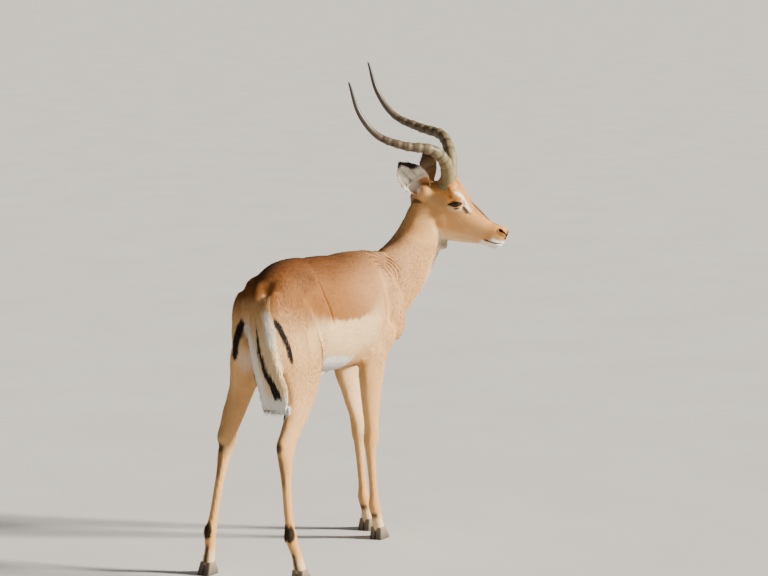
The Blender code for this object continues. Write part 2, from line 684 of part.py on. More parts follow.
# ---------------------------------------------------------------- materials
FINISHES = {  # colour, roughness
    "coat_rufous": ((0.52, 0.25, 0.11), 0.75),
    "coat_tan": ((0.70, 0.45, 0.25), 0.75),
    "coat_white": ((0.85, 0.80, 0.70), 0.80),
    "horn": ((0.16, 0.12, 0.09), 0.50),
    "hoof": ((0.05, 0.045, 0.04), 0.40),
    "eye": ((0.02, 0.012, 0.008), 0.08),
}


def material(name):
    if name in bpy.data.materials:
        return bpy.data.materials[name]
    made = bpy.data.materials.new(name)
    made.use_nodes = True
    shader = made.node_tree.nodes["Principled BSDF"]
    colour, roughness = FINISHES[name]
    shader.inputs["Base Color"].default_value = (*colour, 1)
    shader.inputs["Roughness"].default_value = roughness
    return made


def finish_of(name):
    for word, finish in (("hoof", "hoof"), ("horn", "horn"), ("eye", "eye"), ("scrotum", "coat_white")):
        if name.startswith(word):
            return finish
    if any(word in name for word in ("upper", "cannon", "pastern")):
        return "coat_tan"
    return "coat_rufous"


# ---------------------------------------------------------------- the build
def clear_scene():
    for thing in list(bpy.data.objects):
        bpy.data.objects.remove(thing)
    for collection in (FLESH, IMPALA, KNIVES):
        bpy.context.scene.collection.children.link(collection)
    KNIVES.hide_render = True


def grown(thing, amount):
    """A copy of an object whose surface stands `amount` further out, as a tool that leaves a gap."""
    copy = add_object(f"{thing.name}_grown", thing.data.copy(), KNIVES)
    copy.hide_render = True
    copy.display_type = "WIRE"
    push = copy.modifiers.new("push", "DISPLACE")
    push.mid_level = 0.0
    push.strength = amount
    return copy


def keep_largest(thing):
    """Drops the crumbs that a cut leaves inside the flesh."""
    points, faces = max(loose_pieces(thing), key=lambda piece: len(piece[0]))
    thing.data = mesh_from(thing.name, points, faces)


def main():
    clear_scene()
    build_trunk()
    build_legs()
    build_head()
    flesh = blended_flesh()
    for side, sign in SIDES:
        boolean(flesh, build_eye(side, sign, GAP, KNIVES))
        bpy.data.objects[f"eye_{side}_bed"].hide_render = True
    flesh = applied(flesh, "flesh_with_eye_beds", FLESH)
    outer = grown(flesh, GAP)
    for side, sign in SIDES:
        build_eye(side, sign)
        boolean(build_horn(side, sign), outer)
        boolean(build_ear(side, sign), outer)
        for end in ("hind", "fore"):
            build_claws(f"{end}_{side}", sign)
    boolean(build_tail(), outer)
    boolean(build_scrotum(), outer)
    places = part_flesh(flesh)
    flesh = applied(flesh, "flesh_parted", FLESH)
    name_pieces(loose_pieces(flesh), places)
    bpy.data.objects.remove(flesh)
    for name in [thing.name for thing in IMPALA.objects if thing.modifiers]:
        thing = bpy.data.objects[name]
        thing.name = f"{name}_uncut"
        applied(thing, name, IMPALA)
        keep_largest(bpy.data.objects[name])
    for thing in IMPALA.objects:
        thing.data.transform(Matrix.Translation((-FLOOR_CENTRE[0], -FLOOR_CENTRE[1], 0)))
        thing.data.materials.clear()
        thing.data.materials.append(material(finish_of(thing.name)))
        thing.data.shade_smooth()
    for helper in list(KNIVES.objects) + list(FLESH.objects):
        bpy.data.objects.remove(helper)


main()
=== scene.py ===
# %% [markdown]
# # An impala ram, standing
# The solids of the part say how far the animal reaches. This lesson dresses them: one hide without seams,
# a short coat of tufts, ringed horns, wet eyes and horny hooves. The animal is a still model, so every
# piece rides on the one body, "root".

# %% Load the frame
import json
import math

import bmesh
import bpy
import numpy as np
from mathutils import Matrix, Vector

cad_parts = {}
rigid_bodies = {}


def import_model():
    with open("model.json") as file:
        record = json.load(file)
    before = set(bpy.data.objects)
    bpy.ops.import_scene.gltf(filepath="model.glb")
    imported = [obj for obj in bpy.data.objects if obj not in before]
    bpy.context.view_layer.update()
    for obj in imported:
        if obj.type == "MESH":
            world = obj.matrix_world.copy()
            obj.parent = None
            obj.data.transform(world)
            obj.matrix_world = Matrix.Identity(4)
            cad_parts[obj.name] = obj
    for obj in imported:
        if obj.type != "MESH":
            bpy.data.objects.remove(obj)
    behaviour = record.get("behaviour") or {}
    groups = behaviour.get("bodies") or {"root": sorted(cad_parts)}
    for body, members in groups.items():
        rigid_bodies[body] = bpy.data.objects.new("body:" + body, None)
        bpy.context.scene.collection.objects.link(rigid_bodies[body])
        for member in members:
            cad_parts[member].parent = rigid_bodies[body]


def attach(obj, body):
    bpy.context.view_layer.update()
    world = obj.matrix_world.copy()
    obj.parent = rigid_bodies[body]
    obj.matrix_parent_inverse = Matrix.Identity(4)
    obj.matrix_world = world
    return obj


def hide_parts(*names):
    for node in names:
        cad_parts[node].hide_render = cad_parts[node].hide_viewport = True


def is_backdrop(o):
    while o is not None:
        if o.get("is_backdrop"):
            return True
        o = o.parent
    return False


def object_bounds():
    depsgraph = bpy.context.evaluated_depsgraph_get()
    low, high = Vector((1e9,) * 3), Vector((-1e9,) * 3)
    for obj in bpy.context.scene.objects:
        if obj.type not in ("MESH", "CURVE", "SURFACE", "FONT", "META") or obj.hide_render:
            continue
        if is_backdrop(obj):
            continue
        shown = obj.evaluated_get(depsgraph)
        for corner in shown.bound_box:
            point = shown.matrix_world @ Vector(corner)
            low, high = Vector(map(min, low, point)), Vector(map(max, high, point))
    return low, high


for thing in list(bpy.data.objects):
    bpy.data.objects.remove(thing)
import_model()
box_low, box_high = (tuple(v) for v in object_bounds())
print("the solids reach from", np.round(box_low, 3), "to", np.round(box_high, 3))

# %% [markdown]
# ## Where things are
# The body is worked out in its own axes: +X is the way the trunk faces, +Y is its left and the floor is
# z = 0. The head has axes of its own (forward, left, up), because it is turned back over the right
# shoulder. At the very end every point moves by FLOOR_CENTRE, which puts the middle of the whole box over
# the frame's origin.

# %% Sizes that the pieces share
FLOOR_CENTRE = np.array([0.0714, -0.0656, 0.0])
POLL = np.array([0.474, -0.080, 1.087])
HEAD_YAW, HEAD_PITCH, HEAD_ROLL = -63.0, 33.5, 9.0
EYE_RADIUS = 0.0185
EYE_AT = (0.104, 0.0405, -0.001)
SIDES = (("right", -1), ("left", 1))
STANCE = {
    "hind_right": ((0.0, 0.0, 0.0),),
    "hind_left": ((0.0, -0.062, -0.011), (0.38, 0.040, -0.018), (0.53, -0.004, 0.005),
                  (0.58, -0.001, 0.005), (0.68, 0.004, -0.019), (0.82, 0.0, 0.0)),
    "fore_right": ((0.0, 0.0, -0.003), (0.32, 0.0, 0.0)),
    "fore_left": ((0.0, 0.087, 0.011), (0.32, 0.098, -0.010), (0.46, 0.102, -0.007),
                  (0.54, 0.082, -0.004), (0.74, 0.0, 0.0)),
}


def unit(vectors):
    """Vectors, one or many, brought to length one."""
    vectors = np.asarray(vectors, float)
    return vectors / np.maximum(np.linalg.norm(vectors, axis=-1, keepdims=True), 1e-12)


def smooth_step(value, low, high):
    """0 below low, 1 above high, with a soft ramp between them."""
    t = np.clip((np.asarray(value, float) - low) / (high - low), 0, 1)
    return t * t * (3 - 2 * t)


def fall(value, low, high):
    """1 below low, 0 above high."""
    return 1 - smooth_step(value, low, high)


def catmull_rom(rows, count):
    """A smooth run of rows of numbers through the given ones."""
    rows = np.asarray(rows, float)
    padded = np.vstack([2 * rows[0] - rows[1], rows, 2 * rows[-1] - rows[-2]])
    place = np.linspace(0, len(rows) - 1, count)
    first = np.minimum(place.astype(int), len(rows) - 2)
    t = (place - first)[:, None]
    p0, p1, p2, p3 = (padded[first + k] for k in range(4))
    return 0.5 * (2 * p1 + (p2 - p0) * t + (2 * p0 - 5 * p1 + 4 * p2 - p3) * t**2
                  + (3 * p1 - p0 - 3 * p2 + p3) * t**3)


def head_axes():
    """The head's forward, left and up directions."""
    yaw, pitch, roll = (math.radians(a) for a in (HEAD_YAW, HEAD_PITCH, HEAD_ROLL))
    level = np.array([math.cos(yaw), math.sin(yaw), 0.0])
    forward = level * math.cos(pitch) - np.array([0, 0, math.sin(pitch)])
    flat_left = np.array([-math.sin(yaw), math.cos(yaw), 0.0])
    left = flat_left * math.cos(roll) + np.cross(forward, flat_left) * math.sin(roll)
    return forward, left, np.cross(forward, left)


FORWARD, LEFT, UP = head_axes()
HEAD_FRAME = np.array([FORWARD, LEFT, UP])


def from_head(points):
    return POLL + np.atleast_2d(points) @ HEAD_FRAME


def to_head(points):
    return (points - POLL) @ HEAD_FRAME.T


print("the head looks along", FORWARD.round(3))

# %% [markdown]
# ## The masses of flesh
# A body is easiest to shape as a few big masses: tubes of oval rings for the barrel, neck, legs and tail,
# and ellipsoids for single muscles. They overlap freely; the next step melts them into one skin.

# %% Makers of rings, tubes and muscles
flesh = bpy.data.collections.new("flesh_masses")
bpy.context.scene.collection.children.link(flesh)


def mesh_from(name, points, faces):
    mesh = bpy.data.meshes.new(name)
    mesh.from_pydata([tuple(p) for p in points], [], [tuple(f) for f in faces])
    return mesh


def add_object(name, mesh, collection=None):
    thing = bpy.data.objects.new(name, mesh)
    (collection or bpy.context.scene.collection).objects.link(thing)
    return thing


def skin_rings(name, rings, collection=flesh):
    """A closed mesh over a stack of point rings, each end closed by one face."""
    count, sides = len(rings), len(rings[0])
    faces = [
        (r * sides + k, r * sides + (k + 1) % sides, (r + 1) * sides + (k + 1) % sides, (r + 1) * sides + k)
        for r in range(count - 1) for k in range(sides)
    ]
    faces += [tuple(reversed(range(sides))), tuple((count - 1) * sides + k for k in range(sides))]
    mesh = mesh_from(name, np.vstack(rings), faces)
    shape = bmesh.new()
    shape.from_mesh(mesh)
    bmesh.ops.recalc_face_normals(shape, faces=shape.faces)
    shape.to_mesh(mesh)
    shape.free()
    return add_object(name, mesh, collection)


def oval(centre, side, up, half_width, rise, drop, squareness, sides):
    """One ring: half_width to each side, rise above its centre and drop below it."""
    angle = np.linspace(0, 2 * math.pi, sides, endpoint=False)
    c, s = np.cos(angle), np.sin(angle)
    power = 2.0 / squareness
    across = half_width * np.sign(c) * np.abs(c) ** power
    tall = np.where(s > 0, rise, drop) * np.sign(s) * np.abs(s) ** power
    return np.asarray(centre) + across[:, None] * side + tall[:, None] * up


def level_loft(name, table, axis, squareness, count, sides, place=None):
    """Rings square to X or Z. A row: place, low limit, high limit, sideways, half width, widest level."""
    rings = []
    for at, low, high, aside, half_width, widest in catmull_rom(table, count):
        middle = low + (high - low) * widest
        centre = (at, aside, middle) if axis == "x" else (middle, aside, at)
        up = np.array([0.0, 0, 1] if axis == "x" else [1.0, 0, 0])
        ring = oval(centre, np.array([0.0, 1, 0]), up, max(half_width, 0.002),
                    max(high - middle, 0.002), max(middle - low, 0.002), squareness, sides)
        rings.append(ring if place is None else place(ring))
    return skin_rings(name, rings)


def path_loft(name, table, squareness, count, sides):
    """Rings along a bent path. A row: x, y, z, dorsal direction, half width, rise, drop."""
    rows = catmull_rom(table, count)
    rings = []
    for row, tangent in zip(rows, unit(np.gradient(rows[:, :3], axis=0))):
        up = unit(row[3:6] - (row[3:6] @ tangent) * tangent)
        rings.append(oval(row[:3], np.cross(up, tangent), up, *row[6:9], squareness, sides))
    return skin_rings(name, rings)


def mass(name, centre, radii, along=(1, 0, 0)):
    """A muscle: an ellipsoid whose first radius lies along the given direction."""
    shape = bmesh.new()
    bmesh.ops.create_uvsphere(shape, u_segments=40, v_segments=24, radius=1.0)
    turn = Vector(along).to_track_quat("X", "Z").to_matrix().to_4x4()
    bmesh.ops.transform(shape, verts=shape.verts,
                        matrix=Matrix.Translation(centre) @ turn @ Matrix.Diagonal((*radii, 1)))
    mesh = bpy.data.meshes.new(name)
    shape.to_mesh(mesh)
    shape.free()
    return add_object(name, mesh, flesh)


def both_sides(name, centre, radii, along=(1, 0, 0)):
    for side, sign in SIDES:
        mass(f"{name}_{side}", (centre[0], sign * centre[1], centre[2]), radii, (along[0], sign * along[1], along[2]))


def head_mass(name, centre, radii, along=(1, 0, 0), mirrored=True):
    """A muscle in the head's own axes, on both sides or on the middle line."""
    frame_of_head = Matrix((FORWARD, LEFT, UP)).transposed().to_4x4()
    for side, sign in SIDES if mirrored else (("middle", 1),):
        made = mass(f"{name}_{side}", (centre[0], sign * centre[1], centre[2]), radii,
                    (along[0], sign * along[1], along[2]))
        made.data.transform(Matrix.Translation(POLL) @ frame_of_head)


# %% [markdown]
# ### Trunk and neck
# A ram's trunk is deep at the chest and drawn up at the flank; its rump slopes to the tail. Each row of
# the table is one slice of that outline, as a carver would mark it on a side view.

# %% Trunk and neck masses
TRUNK = [
    (-0.390, 0.750, 0.790, 0.0, 0.014, 0.55),
    (-0.376, 0.712, 0.826, 0.0, 0.041, 0.55),
    (-0.345, 0.676, 0.860, 0.0, 0.061, 0.56),
    (-0.295, 0.640, 0.890, 0.0, 0.079, 0.59),
    (-0.235, 0.606, 0.909, 0.0, 0.091, 0.62),
    (-0.160, 0.576, 0.913, 0.0, 0.099, 0.58),
    (-0.080, 0.560, 0.903, 0.0, 0.110, 0.52),
    (0.010, 0.553, 0.899, 0.0, 0.118, 0.49),
    (0.100, 0.551, 0.902, 0.0, 0.116, 0.47),
    (0.180, 0.556, 0.899, 0.0, 0.102, 0.45),
    (0.250, 0.568, 0.888, 0.0, 0.084, 0.44),
    (0.310, 0.590, 0.866, 0.0, 0.066, 0.42),
    (0.354, 0.628, 0.830, 0.0, 0.046, 0.42),
    (0.382, 0.680, 0.780, 0.0, 0.021, 0.45),
]
NECK = [
    (0.225, 0.000, 0.735, -0.55, 0.00, 0.83, 0.078, 0.128, 0.128),
    (0.315, -0.008, 0.772, -0.60, 0.02, 0.80, 0.078, 0.114, 0.120),
    (0.392, -0.026, 0.828, -0.67, 0.05, 0.74, 0.070, 0.096, 0.110),
    (0.438, -0.044, 0.888, -0.69, 0.09, 0.72, 0.060, 0.083, 0.096),
    (0.463, -0.062, 0.945, -0.67, 0.14, 0.73, 0.053, 0.076, 0.084),
    (0.482, -0.082, 0.997, -0.52, 0.25, 0.80, 0.049, 0.071, 0.074),
    (0.500, -0.108, 1.022, -0.30, 0.15, 0.90, 0.044, 0.056, 0.062),
]
level_loft("barrel", TRUNK, "x", 2.15, 90, 56)
path_loft("neck_mass", NECK, 2.1, 60, 48)
both_sides("withers", (0.225, 0.020, 0.845), (0.105, 0.028, 0.050), (1, 0, 0.02))
both_sides("shoulder_blade", (0.232, 0.066, 0.735), (0.130, 0.032, 0.066), (0.42, 0.10, -0.90))
both_sides("shoulder_point", (0.268, 0.043, 0.664), (0.056, 0.031, 0.052), (0.5, 0.0, -0.86))
both_sides("upper_arm", (0.202, 0.072, 0.630), (0.086, 0.031, 0.048), (-0.76, 0.0, -0.62))
both_sides("breast", (0.306, 0.017, 0.664), (0.060, 0.029, 0.048), (0.3, 0.0, -0.95))
both_sides("rump", (-0.255, 0.041, 0.824), (0.104, 0.039, 0.051), (1, 0.0, -0.10))
both_sides("hip_bone", (-0.200, 0.058, 0.848), (0.052, 0.028, 0.028), (1, 0.3, -0.2))
both_sides("buttock", (-0.356, 0.051, 0.752), (0.052, 0.035, 0.086), (1, 0.1, 0))
mass("loin", (-0.09, 0, 0.872), (0.20, 0.058, 0.035))
mass("sternum", (0.185, 0, 0.585), (0.135, 0.042, 0.038), (1, 0, 0.10))
mass("sheath", (-0.085, 0, 0.560), (0.100, 0.020, 0.022), (1, 0, -0.04))
mass("scrotum", (-0.268, 0, 0.548), (0.028, 0.030, 0.066))

# %% [markdown]
# ### Legs and tail
# A leg is a stack of level slices too, so its joints show as places where the slices widen. `stance`
# slides the slices sideways, most at the foot, to put each hoof where this ram has put it.

# %% Leg and tail masses
HIND_LEG = [
    (0.872, -0.300, -0.225, 0.042, 0.017, 0.5),
    (0.830, -0.354, -0.188, 0.050, 0.032, 0.5),
    (0.760, -0.404, -0.163, 0.059, 0.044, 0.5),
    (0.690, -0.415, -0.152, 0.066, 0.047, 0.5),
    (0.630, -0.394, -0.152, 0.077, 0.042, 0.5),
    (0.580, -0.362, -0.176, 0.088, 0.033, 0.5),
    (0.530, -0.353, -0.222, 0.102, 0.0260, 0.55),
    (0.480, -0.387, -0.278, 0.112, 0.0255, 0.6),
    (0.440, -0.416, -0.325, 0.117, 0.0235, 0.6),
    (0.408, -0.443, -0.359, 0.121, 0.0215, 0.6),
    (0.380, -0.444, -0.377, 0.124, 0.0205, 0.6),
    (0.350, -0.438, -0.389, 0.126, 0.0185, 0.5),
    (0.300, -0.431, -0.394, 0.128, 0.0140, 0.5),
    (0.230, -0.427, -0.394, 0.131, 0.0125, 0.5),
    (0.170, -0.423, -0.389, 0.135, 0.0130, 0.5),
    (0.138, -0.427, -0.384, 0.138, 0.0165, 0.5),
    (0.112, -0.418, -0.377, 0.141, 0.0160, 0.5),
    (0.080, -0.403, -0.365, 0.144, 0.0150, 0.5),
    (0.050, -0.397, -0.358, 0.147, 0.0175, 0.5),
    (0.025, -0.392, -0.354, 0.149, 0.0185, 0.5),
]
FORE_LEG = [
    (0.700, 0.165, 0.250, 0.060, 0.018, 0.5),
    (0.650, 0.134, 0.251, 0.064, 0.031, 0.5),
    (0.600, 0.106, 0.224, 0.069, 0.034, 0.5),
    (0.555, 0.084, 0.199, 0.073, 0.0325, 0.5),
    (0.510, 0.084, 0.185, 0.075, 0.0290, 0.5),
    (0.470, 0.091, 0.179, 0.073, 0.0245, 0.5),
    (0.420, 0.108, 0.181, 0.068, 0.0210, 0.5),
    (0.380, 0.124, 0.183, 0.063, 0.0195, 0.5),
    (0.350, 0.131, 0.188, 0.060, 0.0210, 0.5),
    (0.318, 0.133, 0.190, 0.057, 0.0205, 0.5),
    (0.285, 0.144, 0.185, 0.055, 0.0155, 0.5),
    (0.220, 0.161, 0.193, 0.052, 0.0125, 0.5),
    (0.150, 0.176, 0.210, 0.049, 0.0130, 0.5),
    (0.112, 0.178, 0.222, 0.047, 0.0165, 0.5),
    (0.090, 0.187, 0.231, 0.046, 0.0158, 0.5),
    (0.068, 0.199, 0.239, 0.045, 0.0150, 0.5),
    (0.045, 0.207, 0.246, 0.045, 0.0175, 0.5),
    (0.022, 0.212, 0.251, 0.045, 0.0185, 0.5),
]
LEG_TABLE = {"hind": HIND_LEG, "fore": FORE_LEG}
LEGS = [(f"{end}_{side}", end, sign) for end in ("hind", "fore") for side, sign in SIDES]
TAIL = [
    (-0.346, 0.000, 0.855, -0.70, 0.0, 0.70, 0.016, 0.013, 0.013),
    (-0.378, -0.004, 0.836, -0.90, 0.0, 0.45, 0.021, 0.012, 0.012),
    (-0.400, -0.014, 0.784, -1.00, 0.0, 0.10, 0.027, 0.011, 0.011),
    (-0.409, -0.036, 0.712, -1.00, 0.0, 0.00, 0.038, 0.012, 0.012),
    (-0.404, -0.052, 0.636, -1.00, 0.0, -0.08, 0.045, 0.012, 0.012),
    (-0.388, -0.065, 0.562, -1.00, 0.0, -0.14, 0.052, 0.012, 0.012),
    (-0.376, -0.064, 0.498, -1.00, 0.0, -0.14, 0.040, 0.009, 0.009),
]


def stance(leg, sign):
    """Moves a leg's points so that its foot stands where the pose puts it and its top stays put."""
    heights, forward, outward = zip(*STANCE[leg])

    def place(points):
        moved = points.copy()
        moved[:, 0] += np.interp(points[:, 2], heights, forward)
        moved[:, 1] = sign * (moved[:, 1] + np.interp(points[:, 2], heights, outward))
        return moved

    return place


def leg_point(leg, height):
    """The middle of a leg at a height, in the pose."""
    table = np.array(LEG_TABLE[leg[:4]])[::-1]
    low, high, aside = (np.interp(height, table[:, 0], table[:, k]) for k in (1, 2, 3))
    return stance(leg, -1 if leg.endswith("right") else 1)(np.array([[(low + high) / 2, aside, height]]))[0]


for leg, end, sign in LEGS:
    level_loft(leg, LEG_TABLE[end], "z", 2.1, 150, 36, stance(leg, sign))
path_loft("tail_mass", TAIL, 2.0, 40, 24)
print("hooves stand at", {leg: leg_point(leg, 0.02).round(3)[:2].tolist() for leg, _, _ in LEGS})

# %% [markdown]
# ### Head
# The skull is one long tapering tube with a straight nose line. The brow, cheek, jaw hinge, lips and
# nostril wings are laid over it as small masses, in the head's own axes.

# %% Head masses
HEAD = [
    (-0.030, -0.070, -0.032, 0.014, 0.5),
    (-0.014, -0.090, -0.006, 0.038, 0.55),
    (0.015, -0.112, 0.014, 0.049, 0.62),
    (0.050, -0.131, 0.040, 0.053, 0.66),
    (0.085, -0.138, 0.050, 0.053, 0.68),
    (0.120, -0.133, 0.034, 0.049, 0.66),
    (0.155, -0.120, 0.017, 0.041, 0.62),
    (0.190, -0.102, 0.008, 0.0345, 0.56),
    (0.225, -0.082, 0.004, 0.0305, 0.50),
    (0.252, -0.072, 0.009, 0.0300, 0.48),
    (0.274, -0.066, 0.008, 0.0280, 0.48),
    (0.288, -0.056, 0.000, 0.0210, 0.50),
    (0.296, -0.040, -0.014, 0.0080, 0.50),
]
level_loft("skull", [(at, low, high, 0.0, wide, widest) for at, low, high, wide, widest in HEAD],
           "x", 2.25, 80, 48, from_head)
head_mass("brow", (0.092, 0.041, 0.014), (0.036, 0.018, 0.022), (1, -0.20, -0.42))
head_mass("cheek", (0.078, 0.036, -0.070), (0.058, 0.020, 0.048), (1, -0.12, 0.25))
head_mass("eye_bed", (0.104, 0.036, -0.006), (0.030, 0.017, 0.024), (1, -0.3, -0.3))
head_mass("horn_seat", (0.046, 0.024, 0.034), (0.030, 0.024, 0.026), (1, 0, 0.2))
head_mass("ear_base", (0.003, 0.044, -0.023), (0.026, 0.017, 0.026), (-0.8, 0.5, 0.3))
head_mass("throat_patch", (0.128, 0.0, -0.146), (0.016, 0.026, 0.030), (0.1, 0, -1), mirrored=False)
head_mass("jaw_hinge", (0.045, 0.038, -0.085), (0.037, 0.019, 0.042), (1, 0, 0.4))
head_mass("upper_lip", (0.262, 0.016, -0.036), (0.030, 0.0165, 0.018), (1, -0.18, 0))
head_mass("nostril_wing", (0.276, 0.013, -0.002), (0.018, 0.011, 0.013), (1, -0.3, -0.25))
head_mass("chin", (0.268, 0.0, -0.056), (0.024, 0.019, 0.012), (1, 0, 0.10), mirrored=False)
head_mass("nose_bridge", (0.175, 0.0, 0.0), (0.090, 0.020, 0.016), (1, 0, -0.20), mirrored=False)

# %% [markdown]
# ## One skin
# A voxel remesh turns the overlapping masses into one watertight surface. It leaves small steps and sharp
# creases where masses meet, so every point is then drawn towards its neighbours, in and out by turns,
# which smooths without shrinking. Slim legs and the face keep more of their shape.

# %% Melt the masses together
SKIN_VOXEL = 0.0062
SKIN_SMOOTHING = 40


def points_of(mesh):
    values = np.empty(len(mesh.vertices) * 3, np.float32)
    mesh.vertices.foreach_get("co", values)
    return values.reshape(-1, 3).astype(float)


def set_points(mesh, points):
    mesh.vertices.foreach_set("co", np.asarray(points, np.float32).ravel())
    mesh.update()


def normals_of(mesh):
    values = np.empty(len(mesh.vertices) * 3, np.float32)
    mesh.vertex_normals.foreach_get("vector", values)
    return values.reshape(-1, 3).astype(float)


def relax(mesh, weight_of, steps, pulls=(0.55, -0.565)):
    """Draws each point towards its neighbours' mean; weight_of gives each point's share of it."""
    points = points_of(mesh)
    count = len(points)
    edges = np.empty(len(mesh.edges) * 2, np.int32)
    mesh.edges.foreach_get("vertices", edges)
    a, b = edges.reshape(-1, 2).T
    both, other = np.concatenate([a, b]), np.concatenate([b, a])
    degree = np.maximum(np.bincount(both, minlength=count), 1)[:, None]
    weight = weight_of(points)[:, None]
    for _ in range(steps):
        for pull in pulls:
            mean = np.stack([np.bincount(both, points[other, k], count) for k in range(3)], 1) / degree
            points = points + pull * weight * (mean - points)
    set_points(mesh, points)


def applied(thing, name):
    """A new object holding the evaluated mesh of another, which is removed."""
    bpy.context.view_layer.update()
    mesh = bpy.data.meshes.new_from_object(thing.evaluated_get(bpy.context.evaluated_depsgraph_get()))
    bpy.data.objects.remove(thing)
    return add_object(name, mesh)


def joined(things, name):
    shape = bmesh.new()
    for thing in things:
        shape.from_mesh(thing.data)
    for thing in things:
        bpy.data.objects.remove(thing)
    mesh = bpy.data.meshes.new(name)
    shape.to_mesh(mesh)
    shape.free()
    return add_object(name, mesh)


def smoothing_share(points):
    legs = np.clip((points[:, 2] - 0.36) / 0.14, 0.12, 1.0)
    face = np.clip((to_head(points)[:, 0] - 0.02) / 0.08, 0, 1) * (points[:, 2] > 0.82)
    return legs * (1 - 0.75 * face)


skin = joined(list(flesh.objects), "hide")
melt = skin.modifiers.new("melt", "REMESH")
melt.mode = "VOXEL"
melt.voxel_size = SKIN_VOXEL
skin = applied(skin, "hide")
relax(skin.data, smoothing_share, SKIN_SMOOTHING)
print("the melted hide has", len(skin.data.polygons), "faces")

# %% [markdown]
# ### Ears
# An ear is a cupped leaf that rolls into a tube at its root. Both stand out from the poll: the right one
# opens towards the watcher, the left one a little forward. They are laid out as a curved grid, given a
# wall, and united with the hide so that no seam shows at the root.

# %% Ear leaves, united with the hide
EAR_ROOT = (0.002, 0.050, -0.020)
EAR_TIP = {"right": (-0.110, 0.113, 0.027), "left": (-0.070, 0.142, 0.046)}
EAR_FACE = {"right": (0.16, 0.96, 0.10), "left": (0.55, 0.80, 0.20)}
EAR_HALF_WIDTH = 0.040
EAR_WALL = 0.0036
EAR_ROWS, EAR_COLUMNS = 44, 28


def ear_frame(side, sign):
    """Root, axis, length, opening direction and cross direction of an ear, in head axes."""
    mirror = np.array([1, sign, 1])
    root, tip, face = (np.array(v) * mirror for v in (EAR_ROOT, EAR_TIP[side], EAR_FACE[side]))
    length = np.linalg.norm(tip - root)
    axis = (tip - root) / length
    face = unit(face - (face @ axis) * axis)
    return root, axis, length, face, np.cross(axis, face)


def ear_leaf(side, sign):
    root, axis, length, face, across = ear_frame(side, sign)
    s = np.linspace(0, 1, EAR_ROWS)[:, None]
    width = EAR_HALF_WIDTH * (0.42 + 0.58 * np.sin(math.pi * np.minimum(1, 0.10 + 0.90 * s))) * (1 - s**7) + 0.0025
    roll = np.radians(132 - 78 * np.minimum(1, s / 0.55))
    sine = np.sin(np.minimum(roll, math.pi / 2))
    turn = roll * np.linspace(-1, 1, EAR_COLUMNS)[None, :]
    cup = np.where(s > 0.3, 0.55, 0.75) * width / sine * 0.92 * (np.cos(turn) - np.cos(roll))
    reach = width * np.sin(turn) / sine
    points = (root + axis * (length * s)[..., None] + across * reach[..., None] - face * cup[..., None])
    n = EAR_COLUMNS
    faces = [(r * n + c, r * n + c + 1, (r + 1) * n + c + 1, (r + 1) * n + c)
             for r in range(EAR_ROWS - 1) for c in range(n - 1)]
    if sign > 0:
        faces = [tuple(reversed(f)) for f in faces]
    leaf = add_object(f"ear_leaf_{side}", mesh_from(f"ear_leaf_{side}", from_head(points.reshape(-1, 3)), faces))
    wall = leaf.modifiers.new("wall", "SOLIDIFY")
    wall.thickness = EAR_WALL
    wall.offset = 0.0
    return applied(leaf, f"ear_leaf_{side}")


for side, sign in SIDES:
    leaf = ear_leaf(side, sign)
    unite = skin.modifiers.new("unite", "BOOLEAN")
    unite.operation = "UNION"
    unite.object = leaf
    skin = applied(skin, "hide")
    bpy.data.objects.remove(leaf)


def ear_place(h):
    """For head-axes points: share of the way up the nearer ear, side sign and how far they lie inside its hollow."""
    sign = np.where(h[:, 1] < 0, -1, 1)
    share, depth, off = np.zeros(len(h)), np.zeros(len(h)), np.full(len(h), 9.0)
    for side, s in SIDES:
        root, axis, length, face, _ = ear_frame(side, s)
        w = h - root
        own = sign == s
        along = w @ axis / length
        share[own] = along[own]
        depth[own] = (w @ face)[own]
        off[own] = np.linalg.norm(w - np.outer(along * length, axis), axis=1)[own]
    on_ear = smooth_step(share, 0.16, 0.24) * (off < 0.060) * (share < 1.1)
    return share, depth, on_ear, sign


def near_ear_root(points):
    away = np.linalg.norm(np.abs(to_head(points)) * [1, 1, 1] - np.abs(EAR_ROOT), axis=1)
    share, _, on_ear, _ = ear_place(to_head(points))
    return fall(away, 0.018, 0.040) * 0.6 + 0.25 * on_ear * (share < 0.98)


relax(skin.data, near_ear_root, 5)
print("with its ears the hide has", len(skin.data.polygons), "faces")

# %% [markdown]
# ## Finer skin where the eye looks closest
# The head, and on it the eyes, nostrils and lips, need smaller faces than the barrel. Only the edges there
# are divided, so the hide stays light. The flat unwrap is made before that, and the divisions keep it: it
# is the map on which each tuft of coat is later pinned.

# %% Unwrap, then divide the head's faces
def select_only(thing):
    for other in bpy.context.view_layer.objects:
        other.select_set(False)
    thing.select_set(True)
    bpy.context.view_layer.objects.active = thing


select_only(skin)
bpy.ops.object.mode_set(mode="EDIT")
bpy.ops.mesh.select_all(action="SELECT")
bpy.ops.uv.smart_project(angle_limit=math.radians(66), island_margin=0.004)
bpy.ops.object.mode_set(mode="OBJECT")


def mirrored_head(points):
    """Head axes with the left half folded onto the right, so one rule shapes both sides."""
    return np.abs(to_head(points) * [0, 1, 0]) + to_head(points) * [1, 0, 1]


def from_path(points, path):
    """Distance of each point from a bent line, and how far along the line its nearest place is (0 to 1)."""
    path = np.asarray(path, float)
    best, share = np.full(len(points), 9.0), np.zeros(len(points))
    for k, (a, b) in enumerate(zip(path[:-1], path[1:])):
        t = np.clip((points - a) @ (b - a) / ((b - a) @ (b - a)), 0, 1)
        away = np.linalg.norm(points - (a + t[:, None] * (b - a)), axis=1)
        nearer = away < best
        best = np.where(nearer, away, best)
        share = np.where(nearer, (k + t) / (len(path) - 1), share)
    return best, share


